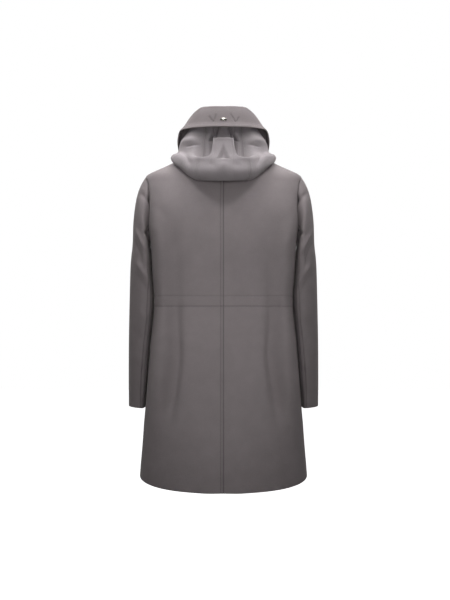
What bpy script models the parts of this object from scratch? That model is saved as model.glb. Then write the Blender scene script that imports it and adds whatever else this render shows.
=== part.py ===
"""A knee-length hooded parka, filled out as worn, with its hood down and its collar turned down.

Metres, +Z up. The back faces -Y and the front +Y, so the wearer's right is +X. The origin is the middle of
the neckline, where the wearer carries the coat. Every cloth piece is a grid of points through sections of
the coat, thickened by Solidify, and neighbouring pieces part at their seams by SEAM_GAP.
"""

import bmesh
import bpy
import numpy as np


class Table:
    """Rows of sizes with named columns. The first column is the key, and values run smoothly between rows."""

    def __init__(self, columns, *rows):
        self.columns = columns.split()
        self.rows = np.array(rows, float)

    def at(self, name, key):
        keys = self.rows[:, 0]
        values = self.rows[:, self.columns.index(name)]
        slopes = np.gradient(values, keys)
        key = np.clip(key, keys[0], keys[-1])
        low = np.clip(np.searchsorted(keys, key, side="right") - 1, 0, len(keys) - 2)
        step = keys[low + 1] - keys[low]
        part = (key - keys[low]) / step
        rise = values[low + 1] - values[low]
        bend_in = slopes[low] * step - rise
        bend_out = rise - slopes[low + 1] * step
        return values[low] + part * rise + part * (1 - part) * ((1 - part) * bend_in + part * bend_out)


# Cloth and seams. A seam that runs round the hood's fold needs a wider gap, and the hood lies a little loose.
CLOTH = 0.0016
SEAM_GAP = 0.0003
FOLDED_GAP = 0.0013
LOOSE = 0.0012
FINE_STEPS = 480

# The coat's body: one row for each level ring, from the hem up. Height is taken at the side seam, back_lift
# and front_drop are how far the ring rises at the centre back and sinks at the centre front.
BODY = Table(
    "height half_width back front squareness back_lift front_drop",
    (-0.957, 0.2495, 0.128, 0.123, 2.40, -0.036, 0.006),
    (-0.850, 0.2415, 0.127, 0.123, 2.50, -0.027, 0.004),
    (-0.750, 0.2345, 0.125, 0.123, 2.70, -0.019, 0.002),
    (-0.570, 0.2200, 0.119, 0.122, 3.00, -0.009, 0.000),
    (-0.430, 0.2080, 0.111, 0.121, 3.20, -0.003, 0.000),
    (-0.350, 0.2135, 0.117, 0.124, 3.30, 0.000, 0.000),
    (-0.270, 0.2180, 0.127, 0.128, 3.10, 0.000, 0.000),
    (-0.200, 0.2320, 0.127, 0.127, 2.70, 0.000, 0.004),
    (-0.130, 0.2375, 0.116, 0.118, 2.45, 0.000, 0.018),
    (-0.090, 0.2365, 0.105, 0.109, 2.30, 0.000, 0.034),
    (-0.063, 0.2280, 0.096, 0.102, 2.25, 0.000, 0.048),
    (-0.039, 0.1780, 0.087, 0.095, 2.15, 0.000, 0.060),
    (-0.018, 0.1340, 0.077, 0.089, 2.05, 0.000, 0.069),
    (0.000, 0.0950, 0.066, 0.084, 2.00, 0.000, 0.075),
)
HEM_HEIGHT = -0.957
UNDERARM_HEIGHT = -0.270
SHOULDER_HEIGHT = -0.063
NECK_HEIGHT = 0.0
LOW_ROWS = 16
SHOULDER_ROWS = 4
BACK_COLUMNS = 14
FRONT_COLUMNS = 7

# Soft upright folds of the back below the shoulder blades, by their place across the back
BACK_FOLDS = Table(
    "across top bottom width depth",
    (-0.136, -0.170, -0.860, 0.030, 0.0065),
    (0.136, -0.180, -0.840, 0.030, 0.0060),
)
FOLD_FADE = 0.13

# The armhole: how far it cuts into the back and the front, measured round the coat from the side
ARMHOLE_BACK = 0.066
ARMHOLE_FRONT = 0.062
ARMHOLE_MIDDLE = (UNDERARM_HEIGHT + SHOULDER_HEIGHT) / 2
ARMHOLE_HALF = (SHOULDER_HEIGHT - UNDERARM_HEIGHT) / 2

# The sleeve: one row for each ring, from the armhole to the cuff. Outer and inner are the ring's outermost
# and innermost points, own is how much of the armhole's own form the ring keeps, and wrap is how far its front
# and back bend round the body.
SLEEVE = Table(
    "ring outer_x outer_z inner_x inner_z middle_y half_depth squareness own wrap",
    (0, 0.2280, -0.063, 0.2180, -0.270, 0.000, 0.057, 2.00, 1.00, 0.000),
    (1, 0.2420, -0.085, 0.2230, -0.2690, 0.000, 0.063, 2.00, 0.80, 0.002),
    (2, 0.2545, -0.114, 0.2242, -0.2715, 0.000, 0.070, 2.05, 0.55, 0.005),
    (3, 0.2630, -0.152, 0.2245, -0.2770, -0.001, 0.077, 2.10, 0.30, 0.009),
    (4, 0.2690, -0.205, 0.2232, -0.2890, -0.002, 0.083, 2.15, 0.10, 0.013),
    (5, 0.2712, -0.268, 0.2215, -0.3120, -0.003, 0.087, 2.20, 0.00, 0.016),
    (6, 0.2770, -0.330, 0.2180, -0.3500, -0.004, 0.086, 2.20, 0.00, 0.016),
    (7, 0.2800, -0.430, 0.2118, -0.4350, -0.004, 0.081, 2.20, 0.00, 0.016),
    (8, 0.2828, -0.550, 0.2225, -0.5500, 0.002, 0.075, 2.20, 0.00, 0.015),
    (9, 0.2842, -0.660, 0.2318, -0.6600, 0.012, 0.069, 2.20, 0.00, 0.014),
    (10, 0.2848, -0.752, 0.2392, -0.7560, 0.023, 0.064, 2.20, 0.00, 0.013),
)
CAP_RINGS = 4
CAP_STEPS = 8
ARM_STEPS = 14
HIND_SEAM = 126
FORE_SEAM = 250

# The collar by the turn round the neck. Roll is the top of the fold, edge the lower edge of the fall. Out is
# level, from the neckline, and the height is from the origin.
COLLAR = Table(
    "turn roll_out roll_z edge_out edge_z",
    (0, 0.032, 0.1295, 0.0590, 0.0655),
    (20, 0.033, 0.1298, 0.0580, 0.0660),
    (30, 0.033, 0.1285, 0.0560, 0.0665),
    (40, 0.032, 0.1180, 0.0525, 0.0665),
    (60, 0.030, 0.0890, 0.0450, 0.0640),
    (72, 0.030, 0.0745, 0.0395, 0.0560),
    (84, 0.033, 0.0630, 0.0370, 0.0400),
    (95, 0.035, 0.0530, 0.0370, 0.0280),
    (110, 0.038, 0.0380, 0.0410, 0.0100),
    (130, 0.038, 0.0090, 0.0440, -0.0220),
    (150, 0.031, -0.0190, 0.0400, -0.0460),
    (180, 0.022, -0.0340, 0.0330, -0.0580),
)
ROLL_HALF = 0.0070
ROLL_DROP = 0.0100
STAND_HOLLOW = 0.0020
COLLAR_STEPS = 11
COLLAR_END = 178

# The hood, hanging as a pouch round the collar, by the turn round the neck. It lies on the coat from the
# neckline down to lies_to, turns up in a fold, swells to a roll, dips above it and goes up under the collar.
HOOD = Table(
    "turn lies_to fold_out fold_z swell_out swell_z roll_out roll_z dip_out dip_z throat_out throat_z"
    " mouth_out mouth_z",
    (0, -0.050, 0.072, -0.0900, 0.105, -0.064, 0.100, -0.034, 0.083, -0.012, 0.061, 0.036, 0.041, 0.086),
    (14, -0.050, 0.072, -0.0900, 0.105, -0.064, 0.100, -0.034, 0.083, -0.012, 0.061, 0.036, 0.041, 0.086),
    (28, -0.050, 0.073, -0.0870, 0.101, -0.060, 0.096, -0.030, 0.077, -0.008, 0.060, 0.034, 0.040, 0.084),
    (42, -0.042, 0.071, -0.0630, 0.092, -0.042, 0.088, -0.016, 0.067, -0.003, 0.056, 0.033, 0.037, 0.074),
    (60, -0.028, 0.063, -0.0345, 0.077, -0.022, 0.074, 0.000, 0.055, 0.007, 0.048, 0.029, 0.031, 0.056),
    (78, -0.021, 0.056, -0.0225, 0.064, -0.011, 0.060, 0.005, 0.044, 0.010, 0.039, 0.024, 0.027, 0.040),
    (95, -0.017, 0.050, -0.0175, 0.058, -0.008, 0.053, 0.005, 0.040, 0.009, 0.035, 0.018, 0.026, 0.028),
    (112, -0.014, 0.043, -0.0230, 0.049, -0.015, 0.047, -0.006, 0.040, -0.003, 0.034, 0.002, 0.026, 0.008),
    (130, -0.009, 0.030, -0.0380, 0.035, -0.033, 0.034, -0.029, 0.032, -0.025, 0.029, -0.020, 0.023, -0.014),
)
HOOD_SEAM = 22
HOOD_END = 130
HOOD_STEPS = 20
HOOD_CENTRE_COLUMNS = 8
HOOD_SIDE_COLUMNS = 14
NECK_START = -0.003

# The fly strip down the front, and the metal stud on the collar
FLY_LEFT = -0.052
FLY_RIGHT = 0.012
FLY_TOP = -0.030
FLY_BOTTOM = -0.945
STUD_WIDTH = 0.020
STUD_TALL = 0.011
STUD_DEEP = 0.004
STUD_HEIGHT = 0.0890

# Colours: linear red, green and blue, then roughness and metallic value
FINISH = {
    "parka_cloth": ((0.19, 0.175, 0.168), 0.85, 0.0),
    "hood_cloth": ((0.20, 0.185, 0.178), 0.85, 0.0),
    "stud_metal": ((0.62, 0.61, 0.60), 0.25, 1.0),
}


def unit(vectors):
    return vectors / np.linalg.norm(vectors, axis=-1, keepdims=True)


def span_window(value, low, high, fade):
    """1 between low and high, easing to 0 over fade outside them."""
    rise = np.clip((value - low) / fade + 1, 0, 1)
    fall = np.clip((high - value) / fade + 1, 0, 1)
    return rise * rise * (3 - 2 * rise) * fall * fall * (3 - 2 * fall)


def body(height, turn, side):
    """Points of the coat's body on one side. Turn is 0 at the centre back, 90 at the side, 180 in front."""
    height, turn = np.broadcast_arrays(np.asarray(height, float), np.asarray(turn, float))
    across = np.sin(np.radians(turn))
    along = np.cos(np.radians(turn))
    power = 2 / BODY.at("squareness", height)
    at_back = along > 0
    depth = np.where(at_back, BODY.at("back", height), BODY.at("front", height))
    tilt = np.where(at_back, BODY.at("back_lift", height), -BODY.at("front_drop", height))
    x = side * BODY.at("half_width", height) * np.sign(across) * np.abs(across) ** power
    y = -np.sign(along) * depth * np.abs(along) ** power
    z = height + tilt * np.where(at_back, np.abs(along), along**2)
    for fold_x, top, bottom, width, fold_depth in BACK_FOLDS.rows:
        reach = span_window(z, bottom + FOLD_FADE, top - FOLD_FADE, FOLD_FADE)
        y = y + at_back * fold_depth * reach * np.exp(-(((x - fold_x) / width) ** 2))
    return np.stack([x, y, z], axis=-1)


def ring_lengths(height, start, end, side):
    """Fine turns along one ring of the body, and the length from start to each of them."""
    fine = np.linspace(start, end, FINE_STEPS + 1)
    steps = np.linalg.norm(np.diff(body(height, fine, side), axis=0), axis=1)
    return fine, np.concatenate([[0], np.cumsum(steps)])


def turns_by_length(height, start, end, count, side):
    """Turns that part one ring of the body evenly by length, from start to end."""
    fine, length = ring_lengths(height, start, end, side)
    return np.interp(np.linspace(0, length[-1], count + 1), length, fine)


def armhole_turn(height, end, reach, side):
    """The turn where the armhole's edge crosses this ring, going from the side seam towards end."""
    share = np.clip((height - ARMHOLE_MIDDLE) / ARMHOLE_HALF, -1, 1)
    fine, length = ring_lengths(height, 90, end, side)
    return np.interp(reach * np.sqrt(1 - share**2), length, fine)


def armhole_heights(angles):
    return ARMHOLE_MIDDLE + ARMHOLE_HALF * np.cos(np.radians(angles))


# Places round the sleeve, from the top of the shoulder by the back to the underarm, then by the front
BACK_ANGLES = np.concatenate([np.linspace(0, HIND_SEAM, 9), np.linspace(HIND_SEAM, 180, 4)[1:]])
FRONT_ANGLES = np.concatenate([np.linspace(180, FORE_SEAM, 5), np.linspace(FORE_SEAM, 360, 7)[1:]])
SLEEVE_ANGLES = np.concatenate([BACK_ANGLES, FRONT_ANGLES[1:]])
LOW_HEIGHTS = np.linspace(HEM_HEIGHT, UNDERARM_HEIGHT, LOW_ROWS + 1)
SHOULDER_HEIGHTS = np.linspace(SHOULDER_HEIGHT, NECK_HEIGHT, SHOULDER_ROWS + 1)


def body_heights(angles):
    """Heights of a panel's rows: below the underarm, up the armhole, up the shoulder."""
    cut = np.sort(armhole_heights(angles))
    return np.concatenate([LOW_HEIGHTS, cut[1:-1], SHOULDER_HEIGHTS])


def body_panel(side, end, angles, reach, columns):
    """One quarter of the coat's body, from its outer edge to the centre line at turn end."""
    rows = []
    for height in body_heights(angles):
        edge = 90.0
        if UNDERARM_HEIGHT < height < SHOULDER_HEIGHT:
            edge = armhole_turn(height, end, reach, side)
        rows.append(body(height, turns_by_length(height, edge, end, columns, side), side))
    return np.array(rows)


def armhole(angle, side):
    """A point of the armhole's edge, by its angle from the top of the shoulder round by the back."""
    height = armhole_heights(angle)
    end, reach = (0, ARMHOLE_BACK) if angle <= 180 else (180, ARMHOLE_FRONT)
    return body(height, armhole_turn(height, end, reach, side), side)


def sleeve_ring(ring, angles, side):
    """The plain form of one ring of the sleeve, without the armhole's own form."""
    size = {name: SLEEVE.at(name, ring) for name in SLEEVE.columns}
    outer = np.array([size["outer_x"], 0, size["outer_z"]])
    inner = np.array([size["inner_x"], 0, size["inner_z"]])
    across = np.cos(np.radians(angles))
    along = np.sin(np.radians(angles))
    power = 2 / size["squareness"]
    across = np.sign(across) * np.abs(across) ** power
    along = np.sign(along) * np.abs(along) ** power
    points = (outer + inner) / 2 + across[:, None] * (outer - inner) / 2
    points[:, 0] -= size["wrap"] * along**2
    points[:, 1] += size["middle_y"] - size["half_depth"] * along
    points[:, 0] *= side
    return points


def sleeve_grid(side):
    """The whole sleeve: a row for each ring, a column for each angle."""
    angles = SLEEVE_ANGLES
    own_form = np.array([armhole(angle, side) for angle in angles]) - sleeve_ring(0.0, angles, side)
    last = SLEEVE.rows[-1, 0]
    cap = np.linspace(0, CAP_RINGS, CAP_STEPS + 1)
    arm = np.linspace(CAP_RINGS, last, ARM_STEPS + 1)[1:]
    rings = np.concatenate([cap, arm])
    return np.array([sleeve_ring(ring, angles, side) + SLEEVE.at("own", ring) * own_form for ring in rings])


def through(stations, count):
    """A smooth line through the stations, by chord length, as count + 1 points."""
    chords = np.linalg.norm(np.diff(stations, axis=0), axis=1)
    keys = np.concatenate([[0], np.cumsum(chords)])
    line = Table("key x y z", *np.column_stack([keys, stations]))
    at = np.linspace(0, keys[-1], count + 1)
    return np.stack([line.at("x", at), line.at("y", at), line.at("z", at)], axis=-1)


def neck_frame(turn, side):
    """The neckline's point at this turn, and the level direction out from it."""
    outward = np.array([side * np.sin(np.radians(turn)), -np.cos(np.radians(turn)), 0])
    return body(NECK_HEIGHT, turn, side), outward


def collar_line(turn, side):
    """The collar's section: up from the neckline, over the roll, down to the edge of the fall."""
    size = {name: COLLAR.at(name, turn) for name in COLLAR.columns}
    start, outward = neck_frame(turn, side)
    up = np.array([0, 0, 1.0])
    roll = start * [1, 1, 0] + outward * size["roll_out"] + up * size["roll_z"]
    edge = start * [1, 1, 0] + outward * size["edge_out"] + up * size["edge_z"]
    inside = roll - outward * ROLL_HALF - up * ROLL_DROP
    outside = roll + outward * ROLL_HALF - up * ROLL_DROP
    middle = (start + inside) / 2 - outward * STAND_HOLLOW
    return through(np.array([start, middle, inside, roll, outside, edge]), COLLAR_STEPS)


def body_normal(height, turn, side):
    """The direction straight out of the coat's body."""
    step = 0.5
    rise = 0.001
    round_it = body(height, turn + step, side) - body(height, turn - step, side)
    up_it = body(height + rise, turn, side) - body(height - rise, turn, side)
    return side * unit(np.cross(round_it, up_it))


def hood_line(turn, side):
    """The hood's section: down the coat from the neckline, round the fold, up to the mouth."""
    size = {name: HOOD.at(name, turn) for name in HOOD.columns}
    start, outward = neck_frame(turn, side)
    stations = []
    for share in (0.0, 0.5, 1.0):
        height = NECK_START + share * (size["lies_to"] - NECK_START)
        lift = CLOTH + SEAM_GAP + LOOSE
        stations.append(body(height, turn, side) + lift * body_normal(height, turn, side))
    for name in ("fold", "swell", "roll", "dip", "throat", "mouth"):
        place = start * [1, 1, 0] + outward * size[name + "_out"]
        stations.append(place + [0, 0, size[name + "_z"]])
    return through(np.array(stations), HOOD_STEPS)


def part_seam(first, first_edge, first_next, second, second_edge, second_next, gap=SEAM_GAP):
    """Draws two grids back from the edge that they share, so that their thick walls just clear each other."""
    edge = first[first_edge].copy()
    out_of_first = unit(edge - first[first_next])
    into_second = unit(second[second_next] - edge)
    bend = np.clip(np.sum(out_of_first * into_second, axis=-1, keepdims=True), -0.8, 1)
    pull = gap / 2 + CLOTH / 2 * np.sqrt((1 - bend) / (1 + bend))
    first[first_edge] = edge - out_of_first * pull
    second[second_edge] = edge + into_second * pull


def cloth(name, grid, finish, collection):
    """A cloth piece: the grid's faces, thickened by Solidify."""
    rows, columns = grid.shape[:2]
    mesh = bmesh.new()
    points = [[mesh.verts.new(point) for point in row] for row in grid]
    for i in range(rows - 1):
        for j in range(columns - 1):
            face = mesh.faces.new((points[i][j], points[i][j + 1], points[i + 1][j + 1], points[i + 1][j]))
            face.smooth = True
    data = bpy.data.meshes.new(name)
    mesh.to_mesh(data)
    mesh.free()
    data.materials.append(bpy.data.materials[finish])
    piece = bpy.data.objects.new(name, data)
    collection.objects.link(piece)
    wall = piece.modifiers.new("cloth wall", "SOLIDIFY")
    wall.thickness = CLOTH
    wall.offset = 0
    return piece


def make_materials():
    for name, (colour, roughness, metallic) in FINISH.items():
        material = bpy.data.materials.new(name)
        material.use_nodes = True
        shader = material.node_tree.nodes["Principled BSDF"]
        shader.inputs["Base Color"].default_value = (*colour, 1)
        shader.inputs["Roughness"].default_value = roughness
        shader.inputs["Metallic"].default_value = metallic


def side_grids(side):
    """The back, the front and the sleeve of one side, parted at the seams between them."""
    back = body_panel(side, 0, BACK_ANGLES, ARMHOLE_BACK, BACK_COLUMNS)
    front = body_panel(side, 180, FRONT_ANGLES, ARMHOLE_FRONT, FRONT_COLUMNS)
    sleeve = sleeve_grid(side)
    side_seam = np.s_[: LOW_ROWS + 1]
    shoulder_seam = np.s_[-SHOULDER_ROWS - 1 :]
    for rows in (side_seam, shoulder_seam):
        part_seam(back, np.s_[rows, 0], np.s_[rows, 1], front, np.s_[rows, 0], np.s_[rows, 1])
    underarm = len(BACK_ANGLES) - 1
    by_back = np.s_[underarm::-1]
    by_front = np.s_[underarm:]
    for panel, angles, way in ((back, BACK_ANGLES, by_back), (front, FRONT_ANGLES, by_front)):
        rows = np.s_[LOW_ROWS : LOW_ROWS + len(angles)]
        part_seam(panel, np.s_[rows, 0], np.s_[rows, 1], sleeve, np.s_[0, way], np.s_[1, way])
    sleeve[0, 0] = sleeve[0, -1]
    hind = list(SLEEVE_ANGLES).index(HIND_SEAM)
    fore = list(SLEEVE_ANGLES).index(FORE_SEAM)
    under = sleeve[:, hind : fore + 1].copy()
    upper = np.concatenate([sleeve[:, fore:-1], sleeve[:, : hind + 1]], axis=1)
    part_seam(upper, np.s_[:, -1], np.s_[:, -2], under, np.s_[:, 0], np.s_[:, 1])
    part_seam(upper, np.s_[:, 0], np.s_[:, 1], under, np.s_[:, -1], np.s_[:, -2])
    return {"back": back, "front": front, "sleeve_upper": upper, "sleeve_under": under}


def collar_grid():
    """The collar from end to end, with a column wherever the neckline has a point."""
    back_turns = turns_by_length(NECK_HEIGHT, 0, 90, BACK_COLUMNS, 1)
    front_turns = turns_by_length(NECK_HEIGHT, 90, 180, FRONT_COLUMNS, 1)[1:]
    turns = np.concatenate([back_turns, np.minimum(front_turns, COLLAR_END)])
    right = np.array([collar_line(turn, 1) for turn in turns]).swapaxes(0, 1)
    left = right[:, :0:-1] * [-1, 1, 1]
    return np.concatenate([left, right], axis=1)


def part_neckline(back, front, collar, side):
    """Parts the collar from the back and the front of one side."""
    middle = collar.shape[1] // 2
    shoulder = middle + side * BACK_COLUMNS
    end = shoulder + side * (FRONT_COLUMNS + 1)
    along_back = np.s_[middle : shoulder + side : side]
    along_front = np.s_[shoulder : end if end >= 0 else None : side]
    neckline = collar[0, along_front].copy()
    part_seam(back, np.s_[-1, ::-1], np.s_[-2, ::-1], collar, np.s_[0, along_back], np.s_[1, along_back])
    collar[0, along_front] = neckline
    part_seam(front, np.s_[-1, :], np.s_[-2, :], collar, np.s_[0, along_front], np.s_[1, along_front])


def hood_grids():
    """The hood's centre panel and its two sides."""
    middle_turns = np.linspace(0, HOOD_SEAM, HOOD_CENTRE_COLUMNS // 2 + 1)
    side_turns = np.linspace(HOOD_SEAM, HOOD_END, HOOD_SIDE_COLUMNS + 1)
    half = np.array([hood_line(turn, 1) for turn in middle_turns]).swapaxes(0, 1)
    centre = np.concatenate([half[:, :0:-1] * [-1, 1, 1], half], axis=1)
    right = np.array([hood_line(turn, 1) for turn in side_turns]).swapaxes(0, 1)
    left = np.array([hood_line(turn, -1) for turn in side_turns]).swapaxes(0, 1)
    part_seam(centre, np.s_[:, -1], np.s_[:, -2], right, np.s_[:, 0], np.s_[:, 1], FOLDED_GAP)
    part_seam(centre, np.s_[:, 0], np.s_[:, 1], left, np.s_[:, 0], np.s_[:, 1], FOLDED_GAP)
    return {"hood_centre": centre, "hood_side_right": right, "hood_side_left": left}


def fly_grid():
    """The fly strip: points of the fronts, moved out by one wall and a gap."""
    grid = []
    heights = body_heights(FRONT_ANGLES)
    for height in heights[(heights > FLY_BOTTOM) & (heights < FLY_TOP)]:
        row = []
        for x in np.linspace(FLY_LEFT, FLY_RIGHT, 5):
            side = 1 if x > 0 else -1
            share = (abs(x) / BODY.at("half_width", height)) ** (BODY.at("squareness", height) / 2)
            turn = 180 - np.degrees(np.arcsin(share))
            lift = CLOTH + SEAM_GAP
            row.append(body(height, turn, side) + lift * body_normal(height, turn, side))
        grid.append(row)
    return np.array(grid)[:, ::-1]


def make_stud(collar, collection):
    """A plain oval dome with a flat back, seated on the fall at the centre back."""
    middle = collar.shape[1] // 2
    fall = collar[np.argmax(collar[:, middle, 2]) :, middle]
    place = int(np.argmax(fall[:, 2] < STUD_HEIGHT))
    down = unit(fall[place] - fall[place - 1])
    point = fall[place] + down * (STUD_HEIGHT - fall[place, 2]) / down[2]
    mesh = bmesh.new()
    bmesh.ops.create_uvsphere(mesh, u_segments=24, v_segments=12, radius=1)
    everything = mesh.verts[:] + mesh.edges[:] + mesh.faces[:]
    bmesh.ops.bisect_plane(mesh, geom=everything, plane_co=(0, 0, 0), plane_no=(0, 0, -1), clear_outer=True)
    bmesh.ops.holes_fill(mesh, edges=mesh.edges[:], sides=0)
    bmesh.ops.scale(mesh, vec=(STUD_WIDTH / 2, STUD_TALL / 2, STUD_DEEP), verts=mesh.verts[:])
    data = bpy.data.meshes.new("collar_stud")
    mesh.to_mesh(data)
    mesh.free()
    data.materials.append(bpy.data.materials["stud_metal"])
    data.shade_smooth()
    data.set_sharp_from_angle(angle=0.9)
    stud = bpy.data.objects.new("collar_stud", data)
    out = np.array([0, down[2], -down[1]])
    out = out if out[1] < 0 else -out
    stud.location = point + out * (CLOTH / 2 + 2 * SEAM_GAP)
    stud.rotation_euler = (np.arctan2(-out[1], out[2]), 0, 0)
    collection.objects.link(stud)


def main():
    for old in list(bpy.data.objects):
        bpy.data.objects.remove(old)
    collection = bpy.data.collections.new("hooded_parka")
    bpy.context.scene.collection.children.link(collection)
    make_materials()
    sides = {"right": side_grids(1), "left": side_grids(-1)}
    for name in ("back", "front"):
        right = sides["right"][name]
        left = sides["left"][name]
        part_seam(right, np.s_[:, -1], np.s_[:, -2], left, np.s_[:, -1], np.s_[:, -2])
    collar = collar_grid()
    part_neckline(sides["right"]["back"], sides["right"]["front"], collar, 1)
    part_neckline(sides["left"]["back"], sides["left"]["front"], collar, -1)
    for label, grids in sides.items():
        for name, grid in grids.items():
            cloth(name + "_" + label, grid, "parka_cloth", collection)
    cloth("collar", collar, "parka_cloth", collection)
    for name, grid in hood_grids().items():
        cloth(name, grid, "hood_cloth", collection)
    cloth("front_fly", fly_grid(), "parka_cloth", collection)
    make_stud(collar, collection)


main()
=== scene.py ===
"""A knee-length hooded parka, filled out as worn: the finished cloth, its stitching and its stud.

Metres, with millimetres in the tables that say so, and +Z up. The back faces -Y, so the wearer's right is
+X. The cloth pieces follow the solids' own sections at a finer step, and get their seams, sewn lines, turned
edges and creases here.
"""

import math

import bpy
import numpy as np
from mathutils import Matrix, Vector
from mathutils.bvhtree import BVHTree


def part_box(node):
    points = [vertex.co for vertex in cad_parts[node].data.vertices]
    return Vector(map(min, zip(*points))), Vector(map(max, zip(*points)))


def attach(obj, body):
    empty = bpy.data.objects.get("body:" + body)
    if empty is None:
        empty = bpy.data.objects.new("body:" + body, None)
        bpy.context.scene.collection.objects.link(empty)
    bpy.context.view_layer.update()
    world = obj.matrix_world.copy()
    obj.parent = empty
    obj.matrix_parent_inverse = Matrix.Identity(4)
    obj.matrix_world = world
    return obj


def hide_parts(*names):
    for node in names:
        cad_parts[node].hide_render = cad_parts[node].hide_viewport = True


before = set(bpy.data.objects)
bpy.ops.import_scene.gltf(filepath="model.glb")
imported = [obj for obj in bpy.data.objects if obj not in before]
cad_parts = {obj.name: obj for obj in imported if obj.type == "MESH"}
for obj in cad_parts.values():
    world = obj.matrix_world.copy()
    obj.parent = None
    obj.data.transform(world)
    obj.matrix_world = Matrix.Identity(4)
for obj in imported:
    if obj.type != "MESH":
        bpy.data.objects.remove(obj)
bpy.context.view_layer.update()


class Table:
    """Rows of numbers with named columns."""

    def __init__(self, columns, *rows):
        self.columns = columns.split()
        self.rows = np.array(rows, float)

    def at(self, name, key):
        """A column's value at this key. Keys are the first column, and values run smoothly between rows."""
        keys = self.rows[:, 0]
        values = self.rows[:, self.columns.index(name)]
        slopes = np.gradient(values, keys)
        key = np.clip(key, keys[0], keys[-1])
        low = np.clip(np.searchsorted(keys, key, side="right") - 1, 0, len(keys) - 2)
        step = keys[low + 1] - keys[low]
        part = (key - keys[low]) / step
        rise = values[low + 1] - values[low]
        bend_in = slopes[low] * step - rise
        bend_out = rise - slopes[low + 1] * step
        return values[low] + part * rise + part * (1 - part) * ((1 - part) * bend_in + part * bend_out)

    def each(self):
        """Every row as a dictionary by column name."""
        return [dict(zip(self.columns, row)) for row in self.rows]

    def row(self, key):
        """Every column's value at this key, by column name."""
        return {name: self.at(name, key) for name in self.columns}


def millimetres(columns, *rows, plain=""):
    """A table of lengths that are given in millimetres. The plain columns aren't lengths."""
    parts = [1 if name in plain.split() else 1000 for name in columns.split()]
    return Table(columns, *(np.array(rows, float) / parts))


# The picture's frame in pixels, its scale at the coat's middle plane, and the camera that gives it
PICTURE_TALL = 600
METRES_PER_PIXEL = 0.003
CAMERA_AWAY = 3.5
CAMERA_X = 0.0045
CAMERA_Z = -0.435

# Cloth, seams and turned edges. The hood lies off the coat by LOOSE, a seam's bend counts as no sharper than
# the cosine SHARPEST_BEND, and edges over CLOTH_SHARP degrees stay sharp.
CLOTH = 0.0016
SEAM_GAP = 0.0003
LOOSE = 0.0012
SHARPEST_BEND = -0.8
CLOTH_SHARP = 60
SEAM_DIP = 0.0009
SEAM_DIP_WIDTH = 0.0015
EDGE_RADIUS = 0.0013
TURN_ANGLES = (36, 72, 108, 144, 180)
TURN_ROWS = 6
HEM_TURN = 0.030
CUFF_TURN = 0.026
COLLAR_TURN = 0.012
MOUTH_TURN = 0.015

# Topstitching, drawn thicker than real so that it shows: the stitch, the thread, and the line that the
# stitches press into the cloth
STITCH_PITCH = 0.0040
STITCH_LENGTH = 0.0032
THREAD = 0.0009
SEWN_DEPTH = 0.0008
SEWN_WIDTH = 0.0014

# The coat's body: one row for each level ring, from the hem up, as in the solids
BODY = millimetres(
    "height half_width back front squareness back_lift front_drop",
    (-957, 249.5, 128, 123, 2.4, -36, 6),
    (-850, 241.5, 127, 123, 2.5, -27, 4),
    (-750, 234.5, 125, 123, 2.7, -19, 2),
    (-570, 220, 119, 122, 3, -9, 0),
    (-430, 208, 111, 121, 3.2, -3, 0),
    (-350, 213.5, 117, 124, 3.3, 0, 0),
    (-270, 218, 127, 128, 3.1, 0, 0),
    (-200, 232, 127, 127, 2.7, 0, 4),
    (-130, 237.5, 116, 118, 2.45, 0, 18),
    (-90, 236.5, 105, 109, 2.3, 0, 34),
    (-63, 228, 96, 102, 2.25, 0, 48),
    (-39, 178, 87, 95, 2.15, 0, 60),
    (-18, 134, 77, 89, 2.05, 0, 69),
    (0, 95, 66, 84, 2, 0, 75),
    plain="squareness",
)
HEM_HEIGHT = -0.957
UNDERARM_HEIGHT = -0.270
SHOULDER_HEIGHT = -0.063
NECK_HEIGHT = 0.0
BACK_FOLDS = millimetres(
    "across top bottom width depth",
    (-136, -170, -860, 30, 6.5),
    (136, -180, -840, 30, 6),
)
FOLD_FADE = 0.13

# The armhole: how far it cuts into the back and the front, measured round the coat from the side
ARMHOLE_BACK = 0.066
ARMHOLE_FRONT = 0.062
ARMHOLE_MIDDLE = (UNDERARM_HEIGHT + SHOULDER_HEIGHT) / 2
ARMHOLE_HALF = (SHOULDER_HEIGHT - UNDERARM_HEIGHT) / 2

# The sleeve: one row for each ring, from the armhole to the cuff, as in the solids
SLEEVE = millimetres(
    "ring outer_x outer_z inner_x inner_z middle_y half_depth squareness own wrap",
    (0, 228, -63, 218, -270, 0, 57, 2, 1, 0),
    (1, 242, -85, 223, -269, 0, 63, 2, 0.8, 2),
    (2, 254.5, -114, 224.2, -271.5, 0, 70, 2.05, 0.55, 5),
    (3, 263, -152, 224.5, -277, -1, 77, 2.1, 0.3, 9),
    (4, 269, -205, 223.2, -289, -2, 83, 2.15, 0.1, 13),
    (5, 271.2, -268, 221.5, -312, -3, 87, 2.2, 0, 16),
    (6, 277, -330, 218, -350, -4, 86, 2.2, 0, 16),
    (7, 280, -430, 211.8, -435, -4, 81, 2.2, 0, 16),
    (8, 282.8, -550, 222.5, -550, 2, 75, 2.2, 0, 15),
    (9, 284.2, -660, 231.8, -660, 12, 69, 2.2, 0, 14),
    (10, 284.8, -752, 239.2, -756, 23, 64, 2.2, 0, 13),
    plain="ring squareness own",
)
CAP_RINGS = 4
HIND_SEAM = 126
FORE_SEAM = 250

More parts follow.
